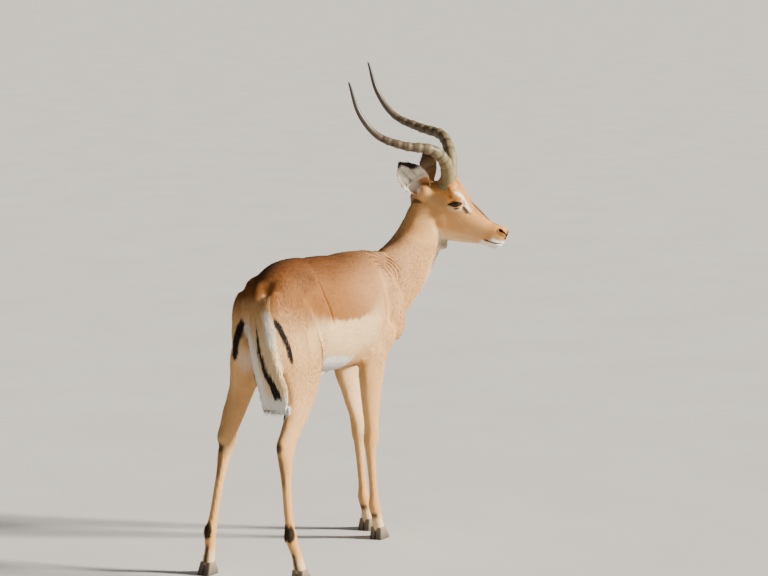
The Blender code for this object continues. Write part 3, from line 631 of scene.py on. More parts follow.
NOSTRIL = [(0.263, 0.0215, 0.002), (0.278, 0.018, 0.001), (0.289, 0.0125, -0.004)]
MOUTH = [(0.236, 0.030, -0.050), (0.262, 0.028, -0.043), (0.284, 0.018, -0.036), (0.296, 0.0, -0.034)]


def mouth_level(m):
    """The height of the line between the lips, for folded head points."""
    return np.interp(m[:, 0], [0.236, 0.296], [-0.050, -0.034])


def divide(thing, chosen):
    """Divides every edge whose two ends are chosen."""
    shape = bmesh.new()
    shape.from_mesh(thing.data)
    keep = chosen(points_of(thing.data))
    edges = [e for e in shape.edges if keep[e.verts[0].index] and keep[e.verts[1].index]]
    bmesh.ops.subdivide_edges(shape, edges=edges, cuts=1, use_grid_fill=True, smooth=0.0)
    bmesh.ops.triangulate(shape, faces=[f for f in shape.faces if len(f.verts) > 4])
    shape.to_mesh(thing.data)
    shape.free()


def above_throat(h):
    """1 on the head and 0 on the neck below it, for points in head axes."""
    return smooth_step(h[:, 2], -0.175, -0.145)


def on_face_part(h):
    """1 on the face, fading to 0 at the back of the head, for points in head axes."""
    return smooth_step(h[:, 0], 0.02, 0.10) * above_throat(h)


def on_head(points):
    h = to_head(points)
    on_ear = ear_place(h)[2]
    inside = (h[:, 0] > -0.02) & (h[:, 0] < 0.31) & (np.abs(h[:, 1]) < 0.075) & (h[:, 2] > -0.15)
    return inside & (points[:, 2] > 0.84) & (on_ear < 0.5)


def on_features(reach):
    def chosen(points):
        m = mirrored_head(points)
        eye = np.linalg.norm(m - EYE_AT, axis=1) < 0.0185 + reach
        nose = from_path(m, NOSTRIL)[0] < reach
        lips = from_path(m, MOUTH)[0] < reach
        return (eye | nose | lips) & on_head(points)
    return chosen


divide(skin, on_head)
relax(skin.data, lambda points: 0.5 * on_head(points), 3)
divide(skin, on_features(0.012))
relax(skin.data, lambda points: 0.5 * on_features(0.012)(points), 2)
divide(skin, on_features(0.007))
relax(skin.data, lambda points: 0.5 * on_features(0.007)(points), 2)
skin.data.calc_loop_triangles()
print("the hide now has", len(skin.data.loop_triangles), "triangles")

# %% [markdown]
# ## Folds, lids, nostrils and lips
# Fine forms are sculpted by moving points along simple rules written in the head's or the body's axes. A
# lid is skin wrapped over the eyeball with an almond cut in it; a nostril is a comma pushed into the
# muzzle; the neck's folds are nested arcs where the turned neck squeezes the hide ahead of the withers.

# %% Rules that carve
EYE_OUT = unit(np.array([0.10, 0.985, 0.13]))
EYE_LONG = unit(np.array([0.80, 0.0, 0.60]) - (np.array([0.80, 0.0, 0.60]) @ EYE_OUT) * EYE_OUT)
EYE_TALL = np.cross(EYE_OUT, EYE_LONG) * np.sign(np.cross(EYE_OUT, EYE_LONG)[2])
LID_HALF_LENGTH = 0.0195
LID_RISE, LID_DROP = 0.0078, 0.0050
LID_THICKNESS = 0.0016


def bell(value, width):
    return np.exp(-(np.asarray(value) / width) ** 2)


def lid_inside(m):
    """How far inside the eye's opening a folded head point lies (metres, negative outside), and its radius."""
    w = m - EYE_AT
    radius = np.linalg.norm(w, axis=1)
    flat = w * (EYE_RADIUS / np.clip(radius, 1e-6, EYE_RADIUS + 0.003))[:, None]
    along, tall, out = flat @ EYE_LONG, flat @ EYE_TALL, w @ EYE_OUT
    arch = 1 - (along / LID_HALF_LENGTH) ** 2
    inside = np.minimum(LID_RISE * arch - tall, tall + LID_DROP * arch)
    beyond = np.abs(along) > LID_HALF_LENGTH
    inside = np.where(beyond, -np.hypot(np.abs(along) - LID_HALF_LENGTH, np.abs(tall)), inside)
    return inside, radius, out


def carve_eyes(points):
    h = to_head(points)
    m = mirrored_head(points)
    inside, radius, out = lid_inside(m)
    weight = (out > -0.002) * (radius < 0.055) * fall(-inside, 0.004, 0.015)
    fold = -0.0013 * bell(-inside - 0.0062, 0.0016) * ((m - EYE_AT) @ EYE_TALL > 0)
    target = EYE_RADIUS + LID_THICKNESS + fold - (LID_THICKNESS + 0.0030) * smooth_step(inside, -0.0004, 0.0014)
    scale = 1 + weight * (target / np.maximum(radius, 1e-6) - 1)
    m = EYE_AT + (m - EYE_AT) * scale[:, None]
    m[:, 1] *= np.where(h[:, 1] < 0, -1, 1)
    return from_head(m)


def carve_muzzle(points, normals):
    m = mirrored_head(points)
    push = np.zeros(len(points))
    off, _ = from_path(m, NOSTRIL)
    push -= 0.0046 * bell(off, 0.0030)
    push += 0.0013 * bell(off - 0.0060, 0.0022)
    level = mouth_level(m)
    from_line = m[:, 2] - level
    lips = smooth_step(m[:, 0], 0.232, 0.244)
    push -= 0.0028 * bell(from_line, 0.0017) * lips
    push += 0.0012 * bell(np.abs(from_line) - 0.0050, 0.0028) * lips
    push -= 0.0014 * bell(m[:, 1], 0.0022) * smooth_step(m[:, 0], 0.286, 0.294) * (m[:, 2] > level)
    gland, _ = from_path(m, [(0.128, 0.042, 0.004), (0.143, 0.038, -0.001), (0.157, 0.035, -0.007)])
    push -= 0.0018 * bell(gland, 0.0035)
    jaw, _ = from_path(m, [(0.030, 0.050, -0.055), (0.075, 0.048, -0.105), (0.120, 0.040, -0.118)])
    push += 0.0010 * bell(jaw, 0.010)
    vein, _ = from_path(m, [(0.120, 0.045, -0.035), (0.170, 0.037, -0.050), (0.215, 0.031, -0.052)])
    push += 0.0004 * bell(vein, 0.0045)
    return points + normals * (push * on_head(points))[:, None]


FOLD_CENTRE = (0.196, 0.806)
FOLD_STEP = 0.0122
FLANK_CREASE = [(-0.162, -0.052, 0.892), (-0.167, -0.086, 0.843), (-0.153, -0.098, 0.801),
                (-0.134, -0.103, 0.764), (-0.119, -0.104, 0.729), (-0.110, -0.104, 0.700)]
SHOULDER_LINE = [(0.285, -0.080, 0.815), (0.278, -0.092, 0.770), (0.262, -0.100, 0.735), (0.262, -0.098, 0.690)]


def fold_zone(points):
    """Where the hide is squeezed ahead of the withers, on the side to which the neck turns, and the ring there."""
    dx, dz = points[:, 0] - FOLD_CENTRE[0], points[:, 2] - FOLD_CENTRE[1]
    ring, angle = np.hypot(dx, dz), np.degrees(np.arctan2(dz, dx))
    waver = 0.0016 * np.sin(angle * 0.11 + ring * 90)
    where = smooth_step(ring, 0.038, 0.052) * fall(ring, 0.108, 0.126)
    where *= smooth_step(angle, 10 - 45 * bell(ring - 0.090, 0.014), 30) * fall(angle, 84, 108)
    where *= smooth_step(-points[:, 1], 0.000, 0.034) * fall(points[:, 0], 0.315, 0.345)
    return where, ring + waver


def neck_folds(points):
    """Depth of the squeezed folds, from 0 to 1."""
    where, ring = fold_zone(points)
    return where * (0.5 + 0.5 * np.cos(2 * math.pi * ring / FOLD_STEP)) ** 2.2


def mirror_y(path):
    return [(x, -y, z) for x, y, z in path]


def near_crease(points, width):
    """1 on the crease before either thigh, fading over that width."""
    return bell(np.minimum(from_path(points, FLANK_CREASE)[0], from_path(points, mirror_y(FLANK_CREASE))[0]), width)


def carve_body(points, normals):
    push = -0.0034 * neck_folds(points)
    for path, strength in ((FLANK_CREASE, 1.0), (mirror_y(FLANK_CREASE), 0.7)):
        off, share = from_path(points, path)
        fade = smooth_step(share, 0.0, 0.12) * fall(share, 0.72, 1.0) * strength
        push -= 0.0032 * bell(off, 0.0032) * fade
    off, share = from_path(points, SHOULDER_LINE)
    push -= 0.0016 * bell(off, 0.007) * smooth_step(share, 0, 0.2) * fall(share, 0.8, 1)
    return points + normals * push[:, None]


FLATTEN = (0.6, 0.0)
THIGH_FRONT = [(-0.205, -0.095, 0.755), (-0.194, -0.096, 0.723), (-0.185, -0.098, 0.690), (-0.184, -0.105, 0.640)]
relax(skin.data, lambda points: 0.6 * np.maximum(bell(from_path(points, THIGH_FRONT)[0], 0.020),
                                                 bell(from_path(points, mirror_y(THIGH_FRONT))[0], 0.020)), 14)
TAIL_ROOT = [(-0.350, 0.000, 0.866), (-0.386, -0.004, 0.842), (-0.403, -0.014, 0.800)]
BREAST_TIP = (0.346, 0.0, 0.606)
relax(skin.data, lambda points: 0.9 * bell(from_path(points, TAIL_ROOT)[0], 0.030), 34, FLATTEN)
relax(skin.data, lambda points: 0.9 * bell(np.linalg.norm(points - BREAST_TIP, axis=1), 0.042), 26, FLATTEN)
divide(skin, lambda points: (fold_zone(points)[0] > 0.02) | (near_crease(points, 0.009) > 0.3))
points = carve_eyes(points_of(skin.data))
set_points(skin.data, points)
points = carve_muzzle(points, normals_of(skin.data))
set_points(skin.data, points)
points = carve_body(points, normals_of(skin.data))
set_points(skin.data, points)
print("carved", len(points), "points")

# %% [markdown]
# ## The lie of the coat
# Hair lies from the nose to the tail and down the legs. A few guide lines over the body say which way; a
# hair follows the guides nearest to it. The same lines carry the length of the hair, so a guide is one
# row: its points, the hair's length there and how far the coat stands off the skin.

# %% Guide lines
def head_line(*places):
    return [tuple(p) for p in from_head(np.array(places, float))]


def leg_line(leg, heights, shift):
    return [tuple(leg_point(leg, z) + np.array([shift, 0, 0])) for z in heights]


GUIDES = [
    (head_line((0.292, 0, -0.010), (0.200, 0, 0.006), (0.120, 0, 0.034), (0.030, 0, 0.020)), 0.0052),
    (head_line((0.285, 0, -0.060), (0.180, 0, -0.100), (0.070, 0, -0.130)), 0.0070),
    (head_line((0.020, 0, 0.015), (-0.020, 0, -0.020)) + [(0.455, -0.055, 1.010), (0.400, -0.020, 0.945),
     (0.330, 0.0, 0.905), (0.240, 0.0, 0.895)], 0.015),
    (head_line((0.080, 0, -0.135)) + [(0.480, -0.100, 0.930), (0.455, -0.060, 0.850), (0.400, -0.020, 0.750),
     (0.350, 0.0, 0.655)], 0.013),
    ([(0.240, 0, 0.900), (0.100, 0, 0.902), (-0.100, 0, 0.910), (-0.250, 0, 0.900), (-0.370, 0, 0.850)], 0.016),
    ([(0.330, 0, 0.610), (0.150, 0, 0.555), (-0.050, 0, 0.560), (-0.230, 0, 0.610)], 0.016),
    ([(-0.345, -0.01, 0.855), (-0.385, -0.01, 0.820)] + [row[:3] for row in TAIL[2:]], 0.030),
]
for side, sign in SIDES:
    y = sign
    head_side = [((0.285, y * 0.020, -0.020), (0.200, y * 0.036, -0.035), (0.120, y * 0.050, -0.045),
                  (0.030, y * 0.052, -0.050), (-0.010, y * 0.048, -0.040))]
    GUIDES += [(head_line(*line), 0.0055) for line in head_side]
    root, axis, length, face, across = ear_frame(side, sign)
    GUIDES += [
        (head_line(root, root + axis * length * 0.5, root + axis * length), 0.009),
        ([(0.440, -0.060 + y * 0.055, 0.960), (0.400, -0.030 + y * 0.065, 0.860), (0.330, y * 0.085, 0.780),
          (0.270, y * 0.100, 0.700)], 0.015),
        ([(0.240, y * 0.075, 0.850), (0.100, y * 0.105, 0.820), (-0.100, y * 0.100, 0.815),
          (-0.250, y * 0.085, 0.800)], 0.014),
        ([(0.200, y * 0.105, 0.690), (0.050, y * 0.118, 0.680), (-0.100, y * 0.105, 0.680),
          (-0.230, y * 0.095, 0.700)], 0.014),
        ([(-0.250, y * 0.080, 0.850), (-0.300, y * 0.100, 0.760), (-0.310, y * 0.110, 0.660),
          (-0.330, y * 0.115, 0.560)], 0.013),
        ([(-0.375, y * 0.045, 0.840), (-0.400, y * 0.070, 0.760), (-0.385, y * 0.085, 0.660),
          (-0.370, y * 0.100, 0.570)], 0.014),
        ([(0.290, y * 0.080, 0.790), (0.255, y * 0.100, 0.700), (0.200, y * 0.100, 0.610),
          (0.150, y * 0.085, 0.540)], 0.013),
        (leg_line(f"hind_{side}", (0.60, 0.50, 0.40, 0.30), 0.0), 0.0095),
        (leg_line(f"hind_{side}", (0.30, 0.20, 0.12, 0.07, 0.03), 0.0), 0.0070),
        (leg_line(f"fore_{side}", (0.56, 0.46, 0.36, 0.27), 0.0), 0.0090),
        (leg_line(f"fore_{side}", (0.27, 0.18, 0.11, 0.07, 0.03), 0.0), 0.0070),
    ]
print(len(GUIDES), "guide lines")


def lie_of_coat(points, chunk=60000):
    """The direction in which the hair lies at each point, before it is laid on the skin, and its length."""
    starts, ends, lengths = [], [], []
    for line, hair in GUIDES:
        line = np.asarray(line, float)
        starts.append(line[:-1])
        ends.append(line[1:])
        lengths += [hair] * (len(line) - 1)
    a, b, lengths = np.vstack(starts), np.vstack(ends), np.array(lengths)
    along = b - a
    way, long = np.zeros_like(points), np.zeros(len(points))
    for first in range(0, len(points), chunk):
        p = points[first:first + chunk]
        t = np.clip(((p[:, None] - a) * along).sum(2) / (along**2).sum(1), 0, 1)
        away = ((p[:, None] - (a + t[..., None] * along)) ** 2).sum(2)
        weight = 1 / (away + 2e-4) ** 2
        weight /= weight.sum(1, keepdims=True)
        way[first:first + chunk] = weight @ unit(along)
        long[first:first + chunk] = weight @ lengths
    return way, long


# %% [markdown]
# ## Room for the coat
# The solids reach to the hair's tips, so the skin itself has to lie a little deeper: by most on the back
# and tail, by least on the face and the slim legs. The coat then fills that depth again.

# %% Sink the skin by the coat's depth
def tail_place(points):
    """How near a point is to the tail (1 on it), its share of the way down and how far it lies to its side."""
    path = np.array(TAIL)[:, :3]
    off, share = from_path(points, path)
    aside = points[:, 1] - np.interp(share, np.linspace(0, 1, len(path)), path[:, 1])
    on_tail = fall(off, 0.042, 0.052) * smooth_step(share, 0.16, 0.24)
    behind = np.interp(share, np.linspace(0, 1, len(path)), path[:, 0])
    return on_tail * (points[:, 0] < behind + 0.018), share, aside, behind


def coat_depth(points):
    h = to_head(points)
    face = smooth_step(h[:, 0], 0.00, 0.09) * above_throat(h)
    depth = 0.0014 + 0.0020 * smooth_step(points[:, 2], 0.40, 0.62)
    depth = depth * (1 - face) + 0.0010 * face
    on_ear = ear_place(h)[2]
    # The hide is set back from both sides of a thin ear, so there by much less than its wall.
    ear_root = fall(np.linalg.norm(mirrored_head(points) - EAR_ROOT, axis=1), 0.042, 0.065)
    thin = np.maximum(on_ear, ear_root)
    depth = depth * (1 - thin) + 0.0005 * thin
    on_tail, share, aside, _ = tail_place(points)
    # The tail's edges are thinner than the coat on it is deep.
    rim = on_tail * smooth_step(np.abs(aside), 0.016, 0.032)
    depth = depth + on_tail * 0.0030 * fall(share, 0.75, 1.0)
    return depth * (1 - rim) + 0.0012 * rim


outer_points = points_of(skin.data)
set_points(skin.data, outer_points - normals_of(skin.data) * coat_depth(outer_points)[:, None])
print("the skin lies", (coat_depth(outer_points).min() * 1e3).round(1), "to",
      (coat_depth(outer_points).max() * 1e3).round(1), "mm under the outline")

# %% [markdown]
# ## Markings
# An impala wears a red-brown saddle over fawn flanks and a white belly. Three black lines mark the rear:
# one down the tail and one on each buttock. There are black brushes above the hind fetlocks, white around
# the eye and the lips, and black ear tips. Skin and tufts ask the same rule for their colour; it also paints shade
# into creases, folds and the ears, and onto the back and the inner hind legs.

# %% One rule for the colour of skin and coat
def linear(red, green, blue):
    """A colour given in the usual 0 to 255 scale, as linear light."""
    c = np.array([red, green, blue]) / 255
    return np.where(c <= 0.04045, c / 12.92, ((c + 0.055) / 1.055) ** 2.4)


SADDLE = linear(150, 96, 42)
# Darker red-brown for the top of the back: partly the saddle's own darker spine, partly painted shade where the back
# faces away from the light.
SADDLE_TOP_TONE_AND_SHADE = linear(98, 56, 27)
# A dark red-brown that paints shade into the flank's creases, the neck's folds and the fold behind the mouth.
CREASE_SHADE_RED = linear(84, 40, 20)
NECK_TAN = linear(202, 152, 102)
FLANK = linear(236, 198, 144)
LEG_TAN = linear(220, 168, 108)
LEG_PALE = linear(216, 162, 98)
WHITE = linear(246, 242, 232)
CREAM = linear(234, 206, 160)
BLACK = linear(24, 18, 15)
DARK_BROWN = linear(58, 37, 25)
GREY_FAWN = linear(160, 136, 98)
CROWN = linear(172, 116, 62)
NOSE_ORANGE = linear(220, 154, 80)
CHEEK = linear(222, 168, 106)

THIGH_STRIPE = {
    -1: [(-0.398, -0.070, 0.786), (-0.388, -0.084, 0.752), (-0.380, -0.094, 0.729), (-0.369, -0.100, 0.705),
         (-0.361, -0.105, 0.681), (-0.354, -0.109, 0.657), (-0.347, -0.112, 0.630)],
    1: [(-0.392, 0.028, 0.772), (-0.401, 0.038, 0.730), (-0.406, 0.048, 0.695), (-0.404, 0.055, 0.665),
        (-0.395, 0.064, 0.630)],
}
WHITE_STRIP = {
    -1: [(-0.400, -0.062, 0.786), (-0.403, -0.070, 0.755), (-0.406, -0.077, 0.725), (-0.405, -0.082, 0.692)],
    1: [(-0.388, 0.014, 0.772), (-0.384, 0.022, 0.732), (-0.374, 0.030, 0.690)],
}
TAIL_LINE = [(-0.398, -0.012, 0.830), (-0.412, -0.019, 0.790), (-0.417, -0.025, 0.760), (-0.419, -0.031, 0.723),
             (-0.420, -0.035, 0.688), (-0.418, -0.045, 0.655), (-0.413, -0.053, 0.624), (-0.409, -0.066, 0.600),
             (-0.403, -0.077, 0.576), (-0.397, -0.084, 0.554), (-0.389, -0.090, 0.528)]
TAIL_LINE_HEIGHTS = (0.520, 0.545, 0.576, 0.600, 0.630, 0.690, 0.720, 0.760, 0.830)
TAIL_LINE_HALF_WIDTHS = (0.008, 0.0125, 0.0140, 0.0115, 0.0095, 0.0065, 0.0045, 0.0030, 0.0020)


def paint(base, colour, mask):
    mask = np.broadcast_to(np.clip(mask, 0, 1), len(base))[:, None]
    return base * (1 - mask) + colour * mask


def mixed(points, tone, other, share):
    """One tone for all the points, mixed with another by a share for each."""
    return paint(np.broadcast_to(tone, points.shape), other, share)


def line_mask(points, path, half_width, soft, taper=0.12):
    """1 on a painted line, fading across `soft` and thinning at its ends."""
    off, share = from_path(points, path)
    width = half_width * np.minimum(1, np.minimum(share, 1 - share) / taper * 0.7 + 0.3)
    return fall(off, width - soft / 2, width + soft / 2)


def spot(points, centre, radius, soft):
    return fall(np.linalg.norm(points - np.asarray(centre), axis=1), radius - soft, radius + soft)


def paint_trunk(colour, p, n):
    side = np.abs(p[:, 1])
    edge = np.interp(p[:, 0], [-0.42, -0.366, -0.303, -0.180, -0.119, -0.046, 0.018, 0.103, 0.172, 0.26],
                     [0.770, 0.758, 0.742, 0.728, 0.726, 0.721, 0.719, 0.733, 0.756, 0.80])
    soft = np.interp(p[:, 0], [-0.40, -0.25, -0.13, -0.09, 0.05, 0.11, 0.20],
                     [0.075, 0.065, 0.022, 0.007, 0.008, 0.035, 0.090])
    ripple = 0.0025 * np.sin(p[:, 0] * 210) + 0.002 * np.sin(p[:, 0] * 97 + 1)
    saddle = smooth_step(p[:, 2] + ripple, edge - soft, edge + soft)
    front = smooth_step(p[:, 0], -0.10, 0.22)
    # The saddle darkens towards the spine: partly its own tone, partly painted shade on the top of the back.
    back_tone_and_shade = smooth_step(p[:, 2], 0.80, 0.905)
    top = mixed(p, SADDLE, SADDLE_TOP_TONE_AND_SHADE, 0.80 * back_tone_and_shade)
    top = paint(top, NECK_TAN, 0.90 * front * (1 - 0.75 * back_tone_and_shade))
    low = mixed(p, FLANK, LEG_TAN, smooth_step(p[:, 0], 0.10, 0.20))
    low = paint(low, LEG_TAN, 0.7 * fall(p[:, 0], -0.28, -0.14))
    colour = low * (1 - saddle[:, None]) + top * saddle[:, None]
    belly = np.interp(p[:, 0], [-0.32, -0.20, -0.116, -0.080, -0.033, 0.018, 0.10, 0.16, 0.30],
                      [0.665, 0.625, 0.606, 0.615, 0.609, 0.598, 0.585, 0.575, 0.570])
    white = fall(p[:, 2] + ripple, belly - 0.006, belly + 0.006)
    colour = paint(colour, WHITE, white * (p[:, 0] < 0.36) * smooth_step(p[:, 0], -0.222, -0.196))
    # Painted shade: a thin dark red-brown line along the crease before the thigh.
    colour = paint(colour, CREASE_SHADE_RED, 0.75 * line_mask(p, FLANK_CREASE, 0.0024, 0.0036, 0.5))
    return paint(colour, WHITE, fall(side, 0.012, 0.040) * fall(p[:, 2], 0.62, 0.68) * fall(p[:, 0], 0.20, 0.31))


def up_the_neck(p):
    """A measure that grows from the withers to the poll, along the neck."""
    return p[:, 0] * 0.72 + p[:, 2] * 0.69


def paint_neck(colour, p, n):
    """Tan-orange, paler to the throat, with the cream patch where throat and jaw meet, and painted shade in the
    neck's folds.
    """
    on_neck = smooth_step(up_the_neck(p), 0.680, 0.860)
    off_front = from_path(p, [(0.515, -0.125, 0.895), (0.500, -0.085, 0.850), (0.455, -0.030, 0.760),
                              (0.385, 0, 0.680)])[0]
    tan = mixed(p, NECK_TAN, CHEEK, fall(off_front, 0.045, 0.125))
    tan = paint(tan, CREAM, 0.75 * fall(off_front, 0.020, 0.065))
    colour = paint(colour, tan, on_neck)
    # Painted shade in the neck's folds: dark red-brown, deepest in each fold.
    return paint(colour, CREASE_SHADE_RED, 0.85 * neck_folds(p) ** 0.6)


GLAND_AT = {"hind_right": (-0.421, -0.144, 0.155), "hind_left": (-0.452, 0.123, 0.140)}


def gland(p, leg):
    """The black brush over the scent gland, at the rear on both sides of a hind leg's fetlock."""
    x, y, z = GLAND_AT[leg]
    middle = leg_point(leg, z)[1]
    aside = np.abs(p[:, 1] - middle) - abs(y - middle)
    off = np.sqrt(((p[:, 0] - x) / 0.017) ** 2 + (aside / 0.012) ** 2 + ((p[:, 2] - z) / 0.025) ** 2)
    return fall(off, 0.80, 1.15)


def paint_legs(colour, p, n):
    """Fawn outside, whitish inside (faintly on the hind legs, as painted shade), dark at the hock, the brushes above
    the fetlock and behind the pastern.
    """
    for leg, end, sign in LEGS:
        join = 0.64 if end == "hind" else 0.60
        heights = np.linspace(0.0, 0.75, 26)
        centres = np.array([leg_point(leg, z) for z in heights])
        cx, cy = (np.interp(p[:, 2], heights, centres[:, k]) for k in (0, 1))
        near = np.hypot(p[:, 0] - cx, p[:, 1] - cy)
        own = (near < np.interp(p[:, 2], [0, 0.35, 0.50, 0.7], [0.06, 0.05, 0.11, 0.16])) * (p[:, 1] * sign > -0.004)
        leg_mask = own * fall(p[:, 2], join - 0.03, join + 0.07)
        tone = mixed(p, LEG_TAN, LEG_PALE, fall(p[:, 2], 0.15, 0.48))
        inner = smooth_step(-n[:, 1] * sign, 0.15, 0.75) * smooth_step(p[:, 2], 0.10, 0.42)
        # Inner sides are paler; the hind legs get little cream there, which paints the shade on their inner sides.
        tone = paint(tone, CREAM, (0.15 if end == "hind" else 0.55) * inner)
        tone = paint(tone, CREAM, 0.8 * fall(p[:, 2], 0.045, 0.095))
        colour = paint(colour, tone, leg_mask)
        back = cx - p[:, 0]
        low = own * (p[:, 2] < 0.5)
        if end == "hind":
            mark = (-0.439, -0.118, 0.402) if sign < 0 else (-0.403, 0.111, 0.377)
            colour = paint(colour, DARK_BROWN, 0.85 * low * spot(p, mark, 0.015, 0.006))
            colour = paint(colour, DARK_BROWN, 0.55 * low * (back > 0.010) * smooth_step(p[:, 2], 0.27, 0.30)
                           * fall(p[:, 2], 0.37, 0.39) * fall(np.abs(p[:, 1] - cy), 0.004, 0.009))
            colour = paint(colour, BLACK, 0.95 * low * gland(p, leg))
        heel = smooth_step(p[:, 2], 0.032, 0.040) * fall(p[:, 2], 0.080, 0.100)
        if end == "hind":
            thin = fall(np.abs(p[:, 1] - cy), 0.003, 0.007)
        else:
            thin = bell(p[:, 2] - 0.080, 0.011)
        colour = paint(colour, BLACK, 0.9 * low * heel * thin * smooth_step(back, 0.006, 0.012))
    return colour


def paint_rear(colour, p, n):
    rear = fall(p[:, 0], -0.385, -0.345)
    between = rear * fall(np.abs(p[:, 1] + 0.02), 0.030, 0.062) * fall(p[:, 2], 0.755, 0.790)
    colour = paint(colour, CREAM, 0.40 * between)
    inward = np.maximum(-n[:, 2], -n[:, 1] * np.sign(p[:, 1]))
    inner = fall(np.abs(p[:, 1]), 0.020, 0.075) * fall(p[:, 2], 0.60, 0.70) * (p[:, 0] < -0.10)
    colour = paint(colour, WHITE, 0.9 * inner * (p[:, 2] > 0.42) * smooth_step(inward, 0.1, 0.5))
    for sign in (-1, 1):
        colour = paint(colour, WHITE, line_mask(p, WHITE_STRIP[sign], 0.0105, 0.006, 0.5))
        colour = paint(colour, BLACK, line_mask(p, THIGH_STRIPE[sign], 0.0095, 0.004, 0.18))
    return colour


def paint_tail(colour, p, n):
    """Cream-tan above with the black line, a white edge where the rump's white begins, white below and at the end."""
    on_tail, share, aside = tail_place(p)[:3]
    tail = mixed(p, NECK_TAN, LEG_TAN, smooth_step(share, 0.22, 0.42))
    tail = paint(tail, CREAM, 0.85 * smooth_step(share, 0.28, 0.52))
    edge = bell(aside + 0.033, 0.0075) * smooth_step(p[:, 2], 0.690, 0.706) * smooth_step(share, 0.28, 0.36)
    tail = paint(tail, WHITE, 0.9 * edge)
    tail = paint(tail, WHITE, 0.9 * smooth_step(aside, 0.012, 0.024) * smooth_step(share, 0.28, 0.5))
    under = np.where(aside > 0, n[:, 0], n[:, 0] - 0.45)
    tail = paint(tail, WHITE, smooth_step(under, -0.15, 0.35) * smooth_step(share, 0.30, 0.40))
    tail = paint(tail, WHITE, smooth_step(share, 0.80, 0.90))
    line = np.interp(p[:, 2], TAIL_LINE_HEIGHTS, TAIL_LINE_HALF_WIDTHS)
    flat = np.array([0.4, 1, 1])
    off, _ = from_path(p * flat, np.array(TAIL_LINE) * flat)
    stripe = fall(off, line - 0.002, line + 0.002) * fall(n[:, 0], -0.30, 0.0)
    tail = paint(tail, BLACK, stripe * smooth_step(p[:, 2], 0.540, 0.552))
    return paint(colour, tail, on_tail)


HEAD_LINES = [
    (CREAM, 0.80, 0.040, 0.036, [(0.03, 0.0, -0.125), (0.12, 0.0, -0.135), (0.24, 0.0, -0.080)]),
    (CREAM, 0.65, 0.018, 0.026, [(0.060, 0.038, -0.108), (0.120, 0.036, -0.108), (0.185, 0.030, -0.084),
                                 (0.225, 0.028, -0.064)]),
    (CREAM, 0.30, 0.012, 0.022, [(0.170, 0.036, -0.056), (0.205, 0.032, -0.046), (0.235, 0.029, -0.036)]),
    (GREY_FAWN, 0.50, 0.014, 0.022, [(0.012, 0.050, -0.030), (0.055, 0.053, -0.018), (0.082, 0.052, -0.022)]),
    # Painted shade: a faint thin dark line along the fold back from the mouth's corner.
    (CREASE_SHADE_RED, 0.30, 0.0018, 0.0040, [(0.152, 0.031, -0.095), (0.203, 0.026, -0.076), (0.231, 0.026, -0.061)]),
    (CROWN, 0.55, 0.020, 0.018, [(0.085, 0.020, 0.048), (0.135, 0.012, 0.034), (0.190, 0.010, 0.012)]),
    (DARK_BROWN, 0.85, 0.0100, 0.008, [(0.125, 0.0, 0.036), (0.164, 0.0, 0.020), (0.192, 0.0, 0.012),
                                       (0.262, 0.0, 0.010)]),
    (CREAM, 0.90, 0.0085, 0.008, [(0.086, 0.053, -0.023), (0.110, 0.049, -0.016), (0.130, 0.042, -0.002)]),
    (WHITE, 0.92, 0.0068, 0.007, [(0.083, 0.054, 0.031), (0.098, 0.045, 0.032), (0.110, 0.036, 0.028),
                                  (0.136, 0.034, 0.012), (0.157, 0.029, 0.003)]),
    (BLACK, 0.92, 0.0060, 0.004, [(0.124, 0.043, 0.005), (0.140, 0.039, -0.001), (0.155, 0.036, -0.008)]),
]


